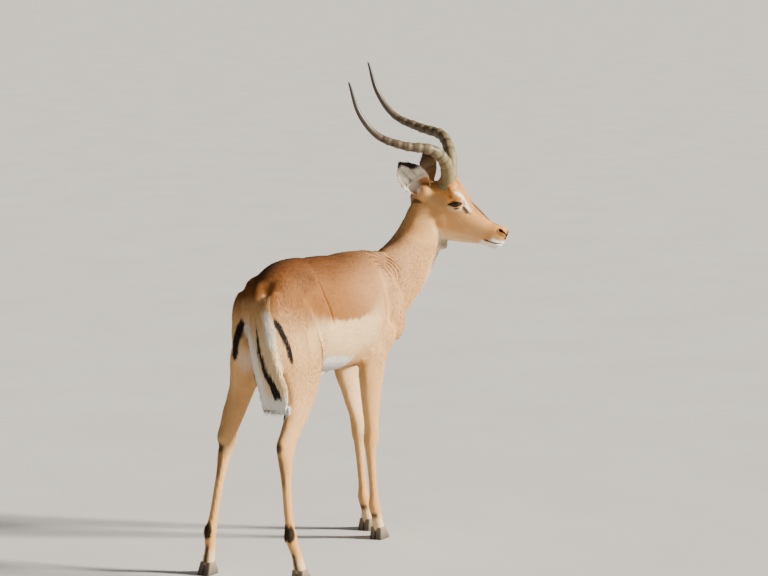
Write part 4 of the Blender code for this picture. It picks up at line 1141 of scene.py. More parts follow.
def paint_head(colour, p, n):
    """Tan cheeks, an orange bridge edged dark, white round the eye and on lips and chin, cream along the jaw."""
    h = to_head(p)
    m = mirrored_head(p)
    on = smooth_step(h[:, 0] + 0.25 * (h[:, 2] + 0.06), -0.030, 0.005) * above_throat(h)
    on = on * smooth_step(-h[:, 2] * 0.2 + h[:, 0], -0.02, 0.03)
    head = np.broadcast_to(CHEEK, p.shape)
    top = smooth_step(m[:, 2] - np.interp(m[:, 0], [0.0, 0.12, 0.30], [-0.020, -0.006, -0.022]), -0.016, 0.022)
    head = paint(head, NOSE_ORANGE, 0.9 * top)
    head = paint(head, CROWN, 0.9 * spot(m, (0.036, 0.006, 0.042), 0.044, 0.018))
    for tone, strength, half_width, soft, path in HEAD_LINES:
        head = paint(head, tone, strength * line_mask(m, path, half_width, soft, 0.22))
    head = paint(head, DARK_BROWN, 0.55 * spot(m, (0.079, 0.057, 0.012), 0.006, 0.005))
    level = mouth_level(m)
    muzzle = smooth_step(m[:, 0], 0.246, 0.262) * fall(m[:, 2] - level, 0.009, 0.016)
    head = paint(head, WHITE, muzzle)
    head = paint(head, WHITE, smooth_step(m[:, 0], 0.225, 0.240) * fall(m[:, 2], -0.058, -0.048))
    nose_tip = smooth_step(m[:, 0], 0.280, 0.288) * smooth_step(m[:, 2], -0.024, -0.014)
    head = paint(head, BLACK, 0.9 * nose_tip * fall(m[:, 1], 0.014, 0.020))
    head = paint(head, BLACK, fall(from_path(m, NOSTRIL)[0], 0.0042, 0.0066))
    gap = fall(np.abs(m[:, 2] - level), 0.0012, 0.0028) * smooth_step(m[:, 0], 0.234, 0.242)
    head = paint(head, BLACK, 0.85 * gap)
    inside, _, out = lid_inside(m)
    rim = smooth_step(inside, -0.0034, -0.0018) * (out > 0)
    head = paint(head, BLACK, rim)
    colour = paint(colour, head, on)
    colour = paint(colour, paint(CREAM[None], WHITE, 0.3), spot(m, (0.134, 0.0, -0.150), 0.036, 0.014))
    ear_root = [(-0.052, 0.070, -0.036), (-0.026, 0.042, -0.026), (-0.004, 0.052, -0.022)]
    colour = paint(colour, WHITE, 0.85 * line_mask(m, ear_root, 0.0165, 0.012, 0.1))
    # Painted shadow: a dark brown line under the ear's root.
    painted_shadow_below_ear = [(-0.018, 0.024, -0.076), (-0.003, 0.045, -0.063), (0.015, 0.054, -0.055)]
    return paint(colour, DARK_BROWN, 0.8 * line_mask(m, painted_shadow_below_ear, 0.0065, 0.007, 0.3))


def paint_ears(colour, p, n):
    h = to_head(p)
    share, _, on_ear, sign = ear_place(h)
    hollow = np.zeros(len(p))
    across = np.zeros(len(p))
    local = n @ HEAD_FRAME.T
    for side, s in SIDES:
        root, _, _, face, cross = ear_frame(side, s)
        own = sign == s
        hollow[own] = smooth_step((local @ face)[own], -0.05, 0.30)
        across[own] = ((h - root) @ cross)[own]
    m = mirrored_head(p)
    back = mixed(p, GREY_FAWN, CHEEK, 0.5)
    # The back darkens up the ear: partly its own dark upper half, partly painted shade on an ear turned from the
    # light.
    back = paint(back, DARK_BROWN, 0.85 * smooth_step(share, 0.35, 0.70))
    between = fall(np.abs(np.abs(across) - 0.012), 0.0012, 0.0036)
    lining = mixed(p, WHITE, CREAM, 0.35)
    lining = paint(lining, DARK_BROWN, 0.45 * between * smooth_step(share, 0.32, 0.42) * fall(share, 0.70, 0.80))
    lining = paint(lining, NECK_TAN, 0.65 * spot(m, (-0.066, 0.085, -0.036), 0.012, 0.008))
    # Painted shade: two dark brown spots deep in the ear's cup.
    for place, reach in (((-0.051, 0.063, -0.014), 0.0050), ((-0.055, 0.071, -0.030), 0.0056)):
        lining = paint(lining, DARK_BROWN, 0.85 * spot(m, place, reach, 0.004))
    ear = back * (1 - hollow[:, None]) + lining * hollow[:, None]
    ear = paint(ear, BLACK, smooth_step(h[:, 2], 0.018, 0.026) * smooth_step(share, 0.50, 0.62) * (sign < 0))
    ear = paint(ear, BLACK, smooth_step(share, 0.84, 0.92))
    return paint(colour, ear, on_ear)


def coat_colour(p, n):
    colour = np.broadcast_to(SADDLE, p.shape).copy()
    for rule in (paint_trunk, paint_neck, paint_legs, paint_rear, paint_tail, paint_head, paint_ears):
        colour = rule(colour, p, n)
    scrotum = fall(np.linalg.norm((p - [-0.268, 0, 0.548]) / [0.036, 0.038, 0.075], axis=1), 0.95, 1.1)
    return paint(colour, mixed(p, CREAM, GREY_FAWN, 0.3), scrotum)


def set_colour(mesh, values, name="coat"):
    layer = mesh.color_attributes.new(name=name, type="FLOAT_COLOR", domain="POINT")
    rgba = np.ones((len(values), 4), np.float32)
    rgba[:, :3] = values
    layer.data.foreach_set("color", rgba.ravel())


skin_points, skin_normals = points_of(skin.data), normals_of(skin.data)
set_colour(skin.data, coat_colour(skin_points, skin_normals))
print("painted the hide")

# %% [markdown]
# ## The coat
# The hair is short and lies close, so most of it is a fine grain on the skin; over it lie thin tufts that
# break the outline on every side. A tuft is a slim closed blade: a three-sided root that narrows to a tip.
# Long hair on the tail, in the ears, on the throat and in the fetlock brushes has more steps and bends.

# %% Where the tufts grow
rng = np.random.default_rng(20)
SPACING = {"face": 0.00165, "ear": 0.0019, "leg": 0.0026, "body": 0.0033, "long": 0.0036}


def skin_triangles(mesh):
    mesh.calc_loop_triangles()
    count = len(mesh.loop_triangles)
    corners, loops = np.empty(count * 3, np.int32), np.empty(count * 3, np.int32)
    mesh.loop_triangles.foreach_get("vertices", corners)
    mesh.loop_triangles.foreach_get("loops", loops)
    uv = np.empty(len(mesh.loops) * 2, np.float32)
    mesh.uv_layers.active.data.foreach_get("uv", uv)
    return corners.reshape(-1, 3), uv.reshape(-1, 2)[loops].reshape(-1, 3, 2)


def sow(mesh, spacing_of):
    """Scatters roots over the skin, evenly for the spacing asked at each face."""
    corners, uv = skin_triangles(mesh)
    p, n = points_of(mesh), normals_of(mesh)
    a, b, c = (p[corners[:, k]] for k in range(3))
    area = 0.5 * np.linalg.norm(np.cross(b - a, c - a), axis=1)
    total = np.cumsum(area / spacing_of((a + b + c) / 3, unit(np.cross(b - a, c - a))) ** 2)
    face = np.searchsorted(total, np.arange(0.5, total[-1]))
    r, s = rng.random((2, len(face)))
    flip = r + s > 1
    r, s = np.where(flip, 1 - r, r), np.where(flip, 1 - s, s)
    share = np.stack([1 - r - s, r, s], 1)[:, :, None]
    return ((p[corners[face]] * share).sum(1), unit((n[corners[face]] * share).sum(1)),
            (uv[face] * share).sum(1))


def is_bare(p):
    """Where no hair grows: the eye's opening, the nostrils, the lips' edge and under the hooves and horns."""
    m = mirrored_head(p)
    inside, _, out = lid_inside(m)
    eye = (inside > -0.0022) & (out > 0) & (np.linalg.norm(m - EYE_AT, axis=1) < 0.03)
    nostril = from_path(m, NOSTRIL)[0] < 0.0050
    level = mouth_level(m)
    lips = (np.abs(m[:, 2] - level) < 0.0024) & (m[:, 0] > 0.236) & (m[:, 0] < 0.32) & (p[:, 2] > 0.84)
    horn = np.linalg.norm(m - [0.047, 0.023, 0.036], axis=1) < 0.021
    return eye | nostril | lips | horn | (p[:, 2] < 0.034)


def spacing(p, n):
    h = to_head(p)
    face = on_face_part(h)
    on_ear = ear_place(h)[2]
    body = SPACING["leg"] + (SPACING["body"] - SPACING["leg"]) * smooth_step(p[:, 2], 0.40, 0.62)
    gap = body * (1 - face) + SPACING["face"] * face
    return np.where(on_ear > 0.5, SPACING["ear"], gap)


# %% The shape of a tuft
def smooth_noise(p, scale, seed):
    """A slow wander from -1 to 1 over the body, so that tufts lean together in patches."""
    draw = np.random.default_rng(seed)
    waves = draw.normal(size=(3, 7)) / scale
    return np.sin(p @ waves + draw.random(7) * 6.28).mean(axis=1) * 1.6


BLADE_SINK = 0.0006
BLADE_THICKNESS = 0.30
TIP_TONE = 1.10
PATCH = 0.0015


def blades(roots, normals, way, length, width, lift, colours, uv, steps=1, root_tone=0.86):
    """Closed three-sided blades. Returns points, faces, normals, colours and map places for one mesh."""
    count = len(roots)
    way = unit(way - (way * normals).sum(1, keepdims=True) * normals)
    side = np.cross(normals, way)
    rows_p, rows_n, rows_c = [], [], []
    for k in range(steps):
        t = k / steps
        wide = (width * (1 - t) ** 0.7 * (1 if k == 0 else 1.05) / 2)[:, None]
        middle = (roots + way * (length * t)[:, None]
                  + normals * (lift * np.sin(t * 1.9) - BLADE_SINK * (1 - t))[:, None])
        ridge = wide * 2 * BLADE_THICKNESS
        rows_p += [middle + side * wide, middle + normals * ridge, middle - side * wide]
        rows_n += [normals * 0.85 + side * 0.45, normals, normals * 0.85 - side * 0.45]
        rows_c += [colours * (root_tone + (TIP_TONE - root_tone) * t)] * 3
    tip = roots + way * length[:, None] + normals * (lift * 0.95)[:, None]
    points = np.stack(rows_p + [tip], 1)
    shade = unit(np.stack(rows_n + [normals * 0.95 + way * 0.2], 1))
    tones = np.stack(rows_c + [colours * TIP_TONE], 1)
    faces = [(0, 2, 1)]
    for k in range(steps - 1):
        for a, b in ((0, 1), (1, 2), (2, 0)):
            faces += [(3 * k + a, 3 * k + b, 3 * k + 3 + b), (3 * k + a, 3 * k + 3 + b, 3 * k + 3 + a)]
    last = 3 * (steps - 1)
    faces += [(last + a, last + b, last + 3) for a, b in ((0, 1), (1, 2), (2, 0))]
    per = 3 * steps + 1
    faces = (np.array(faces)[None] + (np.arange(count) * per)[:, None, None]).reshape(-1, 3)
    spread = np.zeros((per, 2))
    spread[0::3, 0][:steps] = PATCH
    spread[2::3, 0][:steps] = -PATCH
    spread[:, 1] = np.append(np.repeat(np.linspace(-PATCH, PATCH / 3, steps), 3), PATCH)
    places = uv[:, None] + spread
    return points.reshape(-1, 3), faces, shade.reshape(-1, 3), tones.reshape(-1, 3), places.reshape(-1, 2)


def mesh_of_blades(name, made, material):
    points, faces, shade, tones, places = made
    mesh = bpy.data.meshes.new(name)
    mesh.vertices.add(len(points))
    mesh.vertices.foreach_set("co", points.astype(np.float32).ravel())
    mesh.loops.add(len(faces) * 3)
    mesh.loops.foreach_set("vertex_index", faces.astype(np.int32).ravel())
    mesh.polygons.add(len(faces))
    mesh.polygons.foreach_set("loop_start", np.arange(0, len(faces) * 3, 3, dtype=np.int32))
    mesh.update(calc_edges=True)
    layer = mesh.uv_layers.new(name="OFBake")
    layer.data.foreach_set("uv", places[faces.ravel()].astype(np.float32).ravel())
    set_colour(mesh, tones)
    mesh.polygons.foreach_set("use_smooth", np.ones(len(faces), bool))
    mesh.normals_split_custom_set_from_vertices(shade.astype(np.float32))
    mesh.materials.append(material)
    return add_object(name, mesh)


# %% [markdown]
# ## Finishes
# Hair takes its colour from the attribute "coat" that skin and tufts share, and adds a fine grain. Horn is
# dull keratin with growth lines, darker to the tip; hooves are the same matter, worn; an eye is wet.

# %% Materials
def maker_in(tree):
    """A maker of nodes in that tree. A setting is the value of an input or a property of the node."""
    def node(kind, **settings):
        new = tree.nodes.new(kind)
        for key, value in settings.items():
            if key in new.inputs:
                new.inputs[key].default_value = value
            else:
                setattr(new, key, value)
        return new
    return node


class Finish:
    """A material with short ways to wire it. Patterns lie in the piece's own coordinates."""

    def __init__(self, name, roughness, specular=0.5):
        self.material = bpy.data.materials.new(name)
        self.material.use_nodes = True
        tree = self.material.node_tree
        self.shader = tree.nodes["Principled BSDF"]
        self.shader.inputs["Roughness"].default_value = roughness
        self.shader.inputs["Specular IOR Level"].default_value = specular
        self.node, self.join = maker_in(tree), tree.links.new
        self.place = self.node("ShaderNodeTexCoord").outputs["Object"]

    def noise(self, **settings):
        made = self.node("ShaderNodeTexNoise", **settings)
        self.join(self.place, made.inputs["Vector"])
        return made.outputs["Fac"]

    def attribute(self, name, output="Fac"):
        return self.node("ShaderNodeAttribute", attribute_name=name).outputs[output]

    def ranged(self, value, low, high, top=1.0):
        """The value, from 0 to top, spread over low to high."""
        made = self.node("ShaderNodeMapRange", **{"From Max": top, "To Min": low, "To Max": high})
        self.join(value, made.inputs["Value"])
        return made.outputs["Result"]

    def ramp(self, value, stops):
        made = self.node("ShaderNodeValToRGB")
        elements = made.color_ramp.elements
        elements[0].position, elements[0].color = stops[0][0], (*stops[0][1], 1)
        elements[1].position, elements[1].color = stops[-1][0], (*stops[-1][1], 1)
        for place, colour in stops[1:-1]:
            elements.new(place).color = (*colour, 1)
        self.join(value, made.inputs["Fac"])
        return made.outputs["Color"]

    def paint(self, colour, strength=None):
        """Sets the base colour, times a strength where one is given."""
        if strength is not None:
            scaled = self.node("ShaderNodeVectorMath", operation="SCALE")
            self.join(colour, scaled.inputs[0])
            self.join(strength, scaled.inputs["Scale"])
            colour = scaled.outputs["Vector"]
        self.join(colour, self.shader.inputs["Base Color"])

    def bump(self, height, strength, distance):
        made = self.node("ShaderNodeBump", Strength=strength, Distance=distance)
        self.join(height, made.inputs["Height"])
        self.join(made.outputs["Normal"], self.shader.inputs["Normal"])


def coat_finish(name, grain_scale, grain_depth, contrast):
    made = Finish(name, 0.66, 0.18)
    made.shader.inputs["Sheen Weight"].default_value = 0.03
    made.shader.inputs["Sheen Roughness"].default_value = 0.45
    grain = made.noise(Scale=grain_scale, Detail=3.0, Roughness=0.6)
    both = made.node("ShaderNodeMath", operation="MULTIPLY")
    made.join(made.ranged(grain, 1 - contrast, 1 + contrast), both.inputs[0])
    made.join(made.ranged(made.noise(Scale=9.0, Detail=2.0), 0.93, 1.07), both.inputs[1])
    made.paint(made.attribute("coat", "Color"), both.outputs["Value"])
    made.bump(grain, 0.35, grain_depth)
    return made.material


SKIN_FINISH = coat_finish("hide_under_the_hair", 620.0, 0.0006, 0.16)
HAIR_FINISH = coat_finish("short_hair", 900.0, 0.0002, 0.10)
LONG_HAIR_FINISH = coat_finish("long_hair", 900.0, 0.0003, 0.14)
skin.data.materials.clear()
skin.data.materials.append(SKIN_FINISH)
print("hair finishes ready")

# %% [markdown]
# ## Combing the short coat
# Every root asks the guides for its way and length, wanders a little with its neighbours, and takes the
# marking under it. Face and feet get the smallest tufts. The tufts are shared out over pieces by region,
# so that none is too heavy.

# %% Short tufts
TUFT_WIDTH = 0.0023
roots, root_normals, root_places = sow(skin.data, spacing)
grows = ~is_bare(roots)
roots, root_normals, root_places = roots[grows], root_normals[grows], root_places[grows]
way, hair_length = lie_of_coat(roots)
colours = coat_colour(roots, root_normals)
print(len(roots), "short tufts")

h = to_head(roots)
on_face = on_face_part(h)
on_ear = ear_place(h)[2]
on_leg = fall(roots[:, 2], 0.40, 0.62)
turn = 0.16 * smooth_noise(roots, 0.05, 3) + 0.10 * rng.normal(size=len(roots))
level_way = unit(way - (way * root_normals).sum(1, keepdims=True) * root_normals)
way = level_way * np.cos(turn)[:, None] + np.cross(root_normals, level_way) * np.sin(turn)[:, None]
length = hair_length * rng.uniform(0.75, 1.2, len(roots))
length = length * (1 - 0.25 * on_face)
calm = np.maximum(fold_zone(roots)[0], near_crease(roots, 0.010))
length = length * (1 - 0.62 * calm)
width = TUFT_WIDTH * (1 - 0.25 * on_leg) * (1 - 0.55 * on_face) * (1 - 0.40 * on_ear)
width = width * rng.uniform(0.8, 1.2, len(roots))
lift = coat_depth(roots) * rng.uniform(0.35, 0.85, len(roots)) * (1 + 0.25 * smooth_noise(roots, 0.03, 5))
lift = lift * (1 - 0.6 * calm)
colours = colours * (1 + 0.07 * rng.normal(size=len(roots)) + 0.05 * smooth_noise(roots, 0.02, 8))[:, None]

ahead, aside, height = roots.T
REGIONS = (
    ("coat_head", "coat_rufous", on_face + (h[:, 0] > -0.03) * (height > 0.90) * (ahead > 0.36) > 0.5),
    ("coat_neck", "coat_rufous", up_the_neck(roots) > 0.85),
    ("coat_hind_right", "coat_tan", (height < 0.56) & (ahead < 0) & (aside < 0)),
    ("coat_hind_left", "coat_tan", (height < 0.56) & (ahead < 0)),
    ("coat_fore_right", "coat_tan", (height < 0.55) & (aside < 0.005)),
    ("coat_fore_left", "coat_tan", height < 0.55),
    ("coat_rump_right", "coat_rufous", (aside < 0) & (ahead < -0.05)),
    ("coat_flank_right", "coat_rufous", aside < 0),
    ("coat_rump_left", "coat_rufous", ahead < -0.05),
    ("coat_flank_left", "coat_rufous", np.full(len(roots), True)),
)
free = np.full(len(roots), True)
pieces = []
for name, slot, inside in REGIONS:
    own = free & inside
    free &= ~inside
    made = blades(roots[own], root_normals[own], way[own], length[own], width[own], lift[own], colours[own],
                  root_places[own])
    piece = mesh_of_blades(name, made, HAIR_FINISH)
    pieces.append((piece, slot))
    print(name, own.sum(), "tufts,", len(made[1]), "triangles")

# %% [markdown]
# ## Long hair
# The tail is a brush, with the longest hair on its lower half. Shorter fringes fill the ears, the throat
# patch, the white of the rump and the black brushes above the hind fetlocks.

# %% Long tufts
from_skin = sow(skin.data, lambda p, n: np.full(len(p), SPACING["long"] * 0.62))


def long_hair(name, slot, keep_of, length, lift, width, steps, bend=None, spread=0.16):
    """Long tufts on the part of the skin that keep_of picks. The length is a number or a rule."""
    p, n, uv = from_skin
    keep = keep_of(p, n) > rng.random(len(p))
    p, n, uv = p[keep], n[keep], uv[keep]
    ways, _ = lie_of_coat(p)
    if bend is not None:
        ways = bend(p, n, unit(ways))
    ways = ways + spread * rng.normal(size=ways.shape)
    tint = coat_colour(p, n) * (1 + 0.09 * rng.normal(size=len(p)))[:, None]
    if callable(length):
        length = length(p)
    made = blades(p, n, ways, length * rng.uniform(0.7, 1.15, len(p)), np.full(len(p), width),
                  lift * rng.uniform(0.4, 1.1, len(p)), tint, uv, steps=steps, root_tone=0.8)
    piece = mesh_of_blades(name, made, LONG_HAIR_FINISH)
    pieces.append((piece, slot))
    print(name, len(p), "tufts,", len(made[1]), "triangles")


def tail_keep(p, n):
    on_tail, share, _, _ = tail_place(p)
    return on_tail * smooth_step(share, 0.18, 0.30)


def tail_bend(p, n, ways):
    _, share, aside, _ = tail_place(p)
    outward = np.sign(aside) * smooth_step(np.abs(aside), 0.004, 0.024) * (1 - 0.8 * smooth_step(share, 0.55, 0.9))
    down = np.array([0.0, 0.0, -1.0])
    return unit(ways * 0.8 + down * 0.6 + outward[:, None] * np.array([0, 0.12, 0]))


TAIL_HAIR_ENDS = 0.484


def tail_length(p):
    """Longest two thirds down the tail, and never past the height where the tail's hair ends."""
    return np.minimum(0.018 + 0.016 * bell(tail_place(p)[1] - 0.66, 0.28), p[:, 2] - TAIL_HAIR_ENDS)


def ear_keep(p, n):
    h = to_head(p)
    share, _, on_ear, sign = ear_place(h)
    local = n @ HEAD_FRAME.T
    hollow = np.zeros(len(p))
    for side, s in SIDES:
        face = ear_frame(side, s)[3]
        hollow[sign == s] = (local @ face)[sign == s]
    root = fall(np.linalg.norm(np.abs(h) - [0.010, 0.052, -0.030], axis=1), 0.018, 0.030)
    return 0.35 * on_ear * smooth_step(hollow, -0.1, 0.3) * (share < 0.9) + 0.30 * root * (h[:, 0] > -0.03)


def throat_keep(p, n):
    m = mirrored_head(p)
    return spot(m, (0.134, 0.0, -0.150), 0.034, 0.008) * 0.8


def rump_keep(p, n):
    strips = sum(line_mask(p, WHITE_STRIP[s], 0.0120, 0.006, 0.5) + line_mask(p, THIGH_STRIPE[s], 0.0090, 0.004, 0.18)
                 for s in (-1, 1))
    return np.minimum(strips, 1) * 0.55 * (1 - tail_place(p)[0])


def brush_keep(p, n):
    return np.maximum(gland(p, "hind_right"), gland(p, "hind_left"))


long_hair("tail_brush", "coat_white", tail_keep, tail_length, 0.0026, 0.0024, 3, tail_bend, 0.07)
for name, slot, keep_of, length, lift, width, steps in (
        ("ear_lining", "coat_white", ear_keep, 0.017, 0.0030, 0.0015, 3),
        ("throat_tuft", "coat_white", throat_keep, 0.009, 0.0030, 0.0018, 3),
        ("rump_fringes", "coat_white", rump_keep, 0.019, 0.0035, 0.0020, 2),
        ("fetlock_brushes", "coat_tan", brush_keep, 0.014, 0.0035, 0.0019, 3)):
    long_hair(name, slot, keep_of, length, lift, width, steps)

# %% [markdown]
# ## Eyes and lashes
# The eyeball is a true sphere set under the lids. An impala's eye is almost black, with a long level pupil
# that only shows as a deeper shade. The gloss is the shader's, so it moves with the light. Lashes stand
# along the upper lid: one blade of hair, repeated along the lid's edge by a node tree.

# %% Eyeballs
def eye_finish():
    made = Finish("wet_eye", 0.06, 0.6)
    made.shader.inputs["IOR"].default_value = 1.38
    made.paint(made.attribute("coat", "Color"), made.ranged(made.noise(Scale=700.0, Detail=2.0), 0.8, 1.2))
    return made.material


EYE_FINISH = eye_finish()
for side, sign in SIDES:
    shape = bmesh.new()
    bmesh.ops.create_uvsphere(shape, u_segments=72, v_segments=48, radius=EYE_RADIUS)
    mesh = bpy.data.meshes.new(f"eyeball_{side}")
    shape.to_mesh(mesh)
    shape.free()
    ball = points_of(mesh)
    out, long, tall = (v * [1, sign, 1] for v in (EYE_OUT, EYE_LONG, EYE_TALL))
    local = ball @ np.array([long, tall, out])
    away = np.hypot(ball[:, 0], ball[:, 1])
    pupil = fall(np.hypot(ball[:, 0] / 0.0085, ball[:, 1] / 0.0034), 0.85, 1.15)
    tone = paint(np.broadcast_to(linear(58, 34, 20), ball.shape), linear(8, 6, 6), pupil * (ball[:, 2] > 0))
    tone = paint(tone, linear(26, 18, 14), smooth_step(away, 0.0120, 0.0150))
    set_points(mesh, from_head(np.array(EYE_AT) * [1, sign, 1] + local))
    set_colour(mesh, tone)
    if sign < 0:
        mesh.flip_normals()
    mesh.shade_smooth()
    mesh.materials.append(EYE_FINISH)
    pieces.append((add_object(f"eyeball_{side}", mesh), "eye"))
print("eyeballs are", 2e3 * EYE_RADIUS, "mm across")

# %% Lashes by a node tree
def tree_with(name, sizes):
    """A geometry node group with named number inputs, its input and output nodes, and a maker of nodes."""
    group = bpy.data.node_groups.new(name, "GeometryNodeTree")
    group.interface.new_socket("Geometry", in_out="INPUT", socket_type="NodeSocketGeometry")
    for title, value in sizes.items():
        kind = "NodeSocketInt" if isinstance(value, int) else "NodeSocketFloat"
        group.interface.new_socket(title, in_out="INPUT", socket_type=kind).default_value = value
    group.interface.new_socket("Geometry", in_out="OUTPUT", socket_type="NodeSocketGeometry")
    enter, leave = group.nodes.new("NodeGroupInput"), group.nodes.new("NodeGroupOutput")
    return group, enter, leave, maker_in(group), group.links.new


def in_line(join, *nodes):
    """Passes the geometry on from node to node, by the first socket of each."""
    for giver, taker in zip(nodes, nodes[1:]):
        join(giver.outputs[0], taker.inputs[0])


def with_tree(thing, group, sizes, name):
    """Runs a node group on an object with its inputs set, and returns the plain mesh it makes."""
    nodes = thing.modifiers.new("nodes", "NODES")
    nodes.node_group = group
    for item in group.interface.items_tree:
        if item.item_type == "SOCKET" and item.in_out == "INPUT" and item.name in sizes:
            nodes[item.identifier] = sizes[item.name]
    return applied(thing, name)


LASH_SIZES = {"Count": 34, "Length": 0.0085, "Thickness": 0.00022, "Seed": 4}
LASH_TIP = 0.00002


def lash_tree(material):
    group, enter, leave, node, join = tree_with("lashes", LASH_SIZES)
    curve = node("GeometryNodeMeshToCurve")
    resample = node("GeometryNodeResampleCurve")
    cone = node("GeometryNodeMeshCone", Vertices=5, **{"Radius Top": LASH_TIP})
    stand = node("GeometryNodeInstanceOnPoints")
    outward = node("GeometryNodeInputNamedAttribute", data_type="FLOAT_VECTOR", Name="out")
    aim = node("FunctionNodeAlignRotationToVector", axis="Z")
    jitter = node("FunctionNodeRandomValue", data_type="FLOAT")
    jitter.inputs[2].default_value, jitter.inputs[3].default_value = 0.65, 1.1
    real = node("GeometryNodeRealizeInstances")
    paint_it = node("GeometryNodeSetMaterial", Material=material)
    in_line(join, enter, curve, resample, stand, real, paint_it, leave)
    join(enter.outputs["Count"], resample.inputs["Count"])
    join(enter.outputs["Length"], cone.inputs["Depth"])
    join(enter.outputs["Thickness"], cone.inputs["Radius Bottom"])
    join(cone.outputs["Mesh"], stand.inputs["Instance"])
    join(outward.outputs["Attribute"], aim.inputs["Vector"])
    join(aim.outputs["Rotation"], stand.inputs["Rotation"])
    join(enter.outputs["Seed"], jitter.inputs["Seed"])
    join(jitter.outputs[1], stand.inputs["Scale"])
    return group


def plain_dark(name, colour, roughness):
    made = Finish(name, roughness)
    made.paint(made.ramp(made.noise(Scale=500.0, Detail=2.0), [(0.3, colour * 0.7), (0.7, colour * 1.3)]))
    return made.material


LASH_FINISH = plain_dark("lash_hair", linear(28, 20, 16), 0.5)
lashes = lash_tree(LASH_FINISH)
for side, sign in SIDES:
    along = np.linspace(-0.92, 0.92, 25) * LID_HALF_LENGTH
    tall = LID_RISE * (1 - (along / LID_HALF_LENGTH) ** 2) + 0.0003
    out = np.sqrt(EYE_RADIUS**2 - along**2 - tall**2)
    scale = (EYE_RADIUS + LID_THICKNESS * 0.8) / EYE_RADIUS
    edge = np.array(EYE_AT) + scale * (np.outer(along, EYE_LONG) + np.outer(tall, EYE_TALL) + np.outer(out, EYE_OUT))
    lean = unit(np.outer(along * 12, EYE_LONG) + EYE_OUT * 0.85 - EYE_TALL * 0.12)
    edge, lean = edge * [1, sign, 1], lean * [1, sign, 1]
    mesh = bpy.data.meshes.new("lid_edge")
    mesh.from_pydata([tuple(p) for p in from_head(edge)], [(k, k + 1) for k in range(len(edge) - 1)], [])
    mesh.attributes.new("out", "FLOAT_VECTOR", "POINT").data.foreach_set(
        "vector", (lean @ HEAD_FRAME).astype(np.float32).ravel())
    sizes = {**LASH_SIZES, "Seed": LASH_SIZES["Seed"] + sign}
    made = with_tree(add_object("lid_edge", mesh), lashes, sizes, f"lashes_{side}")
    pieces.append((made, "coat_rufous"))
    print(f"lashes_{side}", len(made.data.polygons), "faces")

# %% [markdown]
# ## Horns
# A ram's horns rise, sweep back and outwards, and turn up again. The lower two thirds carry ridges, the
# tips are smooth. The shape follows a rule, so a node tree makes it: a path becomes a curve, the curve's
# radius tapers, and the surface is lifted in rings.

# %% The horn tree
HORN_PATH = [
    (0.046, 0.021, 0.018), (0.039, 0.027, 0.047), (0.004, 0.057, 0.095), (-0.050, 0.108, 0.117),
    (-0.126, 0.143, 0.089), (-0.212, 0.158, 0.073), (-0.297, 0.168, 0.103), (-0.372, 0.172, 0.166),
]
HORN_SIZES = {"Base Radius": 0.0215, "Tip Radius": 0.0030, "Taper": 0.82, "Foot Swell": 0.0040, "Rings": 12,
              "Ringed Share": 0.70, "Ridge Height": 0.11, "Steps": 520, "Sides": 56}


def horn_tree(material):
    group, enter, leave, node, join = tree_with("ringed_horn", HORN_SIZES)

    def maths(operation, *values):
        made = node("ShaderNodeMath", operation=operation)
        for k, value in enumerate(values):
            if isinstance(value, (int, float)):
                made.inputs[k].default_value = value
            else:
                join(value, made.inputs[k])
        return made.outputs["Value"]

    size = enter.outputs
    curve = node("GeometryNodeMeshToCurve")
    resample = node("GeometryNodeResampleCurve")
    share = node("GeometryNodeSplineParameter").outputs["Factor"]
    keep = node("GeometryNodeCaptureAttribute", domain="POINT")
    keep.capture_items.new("FLOAT", "Along")
    radius = node("GeometryNodeSetCurveRadius")
    profile = node("GeometryNodeCurvePrimitiveCircle", Radius=1.0)
    sweep = node("GeometryNodeCurveToMesh", **{"Fill Caps": True})
    lift = node("GeometryNodeSetPosition")
    outward = node("GeometryNodeInputNormal")
    offset = node("ShaderNodeVectorMath", operation="SCALE")
    store = node("GeometryNodeStoreNamedAttribute", data_type="FLOAT", domain="POINT", Name="along")
    smooth = node("GeometryNodeSetShadeSmooth")
    real = node("GeometryNodeRealizeInstances")
    paint_it = node("GeometryNodeSetMaterial", Material=material)

    def taper(place):
        slim = maths("POWER", maths("SUBTRACT", 1.0, place), size["Taper"])
        foot = maths("MULTIPLY", size["Foot Swell"], maths("POWER", maths("SUBTRACT", 1.0, place), 12.0))
        return maths("ADD", maths("ADD", size["Tip Radius"], foot),
                     maths("MULTIPLY", maths("SUBTRACT", size["Base Radius"], size["Tip Radius"]), slim))

    in_line(join, enter, curve, resample, keep, radius, sweep, lift, store, smooth, real, paint_it, leave)
    join(size["Steps"], resample.inputs["Count"])
    join(share, keep.inputs["Along"])
    join(taper(share), radius.inputs["Radius"])
    join(size["Sides"], profile.inputs["Resolution"])
    join(profile.outputs["Curve"], sweep.inputs["Profile Curve"])
    if "Scale" in sweep.inputs:
        join(taper(share), sweep.inputs["Scale"])
    along = keep.outputs["Along"]
    turns = maths("DIVIDE", maths("MULTIPLY", along, size["Rings"]), size["Ringed Share"])
    wave = maths("ADD", maths("MULTIPLY", maths("COSINE", maths("MULTIPLY", turns, 2 * math.pi)), 0.5), 0.5)
    ridge = maths("SUBTRACT", maths("POWER", wave, 2.2), 0.35)
    fade = maths("MULTIPLY", maths("SUBTRACT", size["Ringed Share"], along), 9.0)
    fade = maths("MINIMUM", maths("MAXIMUM", fade, 0.0), 1.0)
    rise = maths("MINIMUM", maths("ADD", maths("DIVIDE", along, 0.28), 0.05), 1.0)
    height = maths("MULTIPLY", maths("MULTIPLY", ridge, maths("MULTIPLY", fade, rise)),
                   maths("MULTIPLY", size["Ridge Height"], taper(along)))
    join(outward.outputs["Normal"], offset.inputs[0])
    join(height, offset.inputs["Scale"])
    join(offset.outputs["Vector"], lift.inputs["Offset"])
    join(along, store.inputs["Value"])
    return group


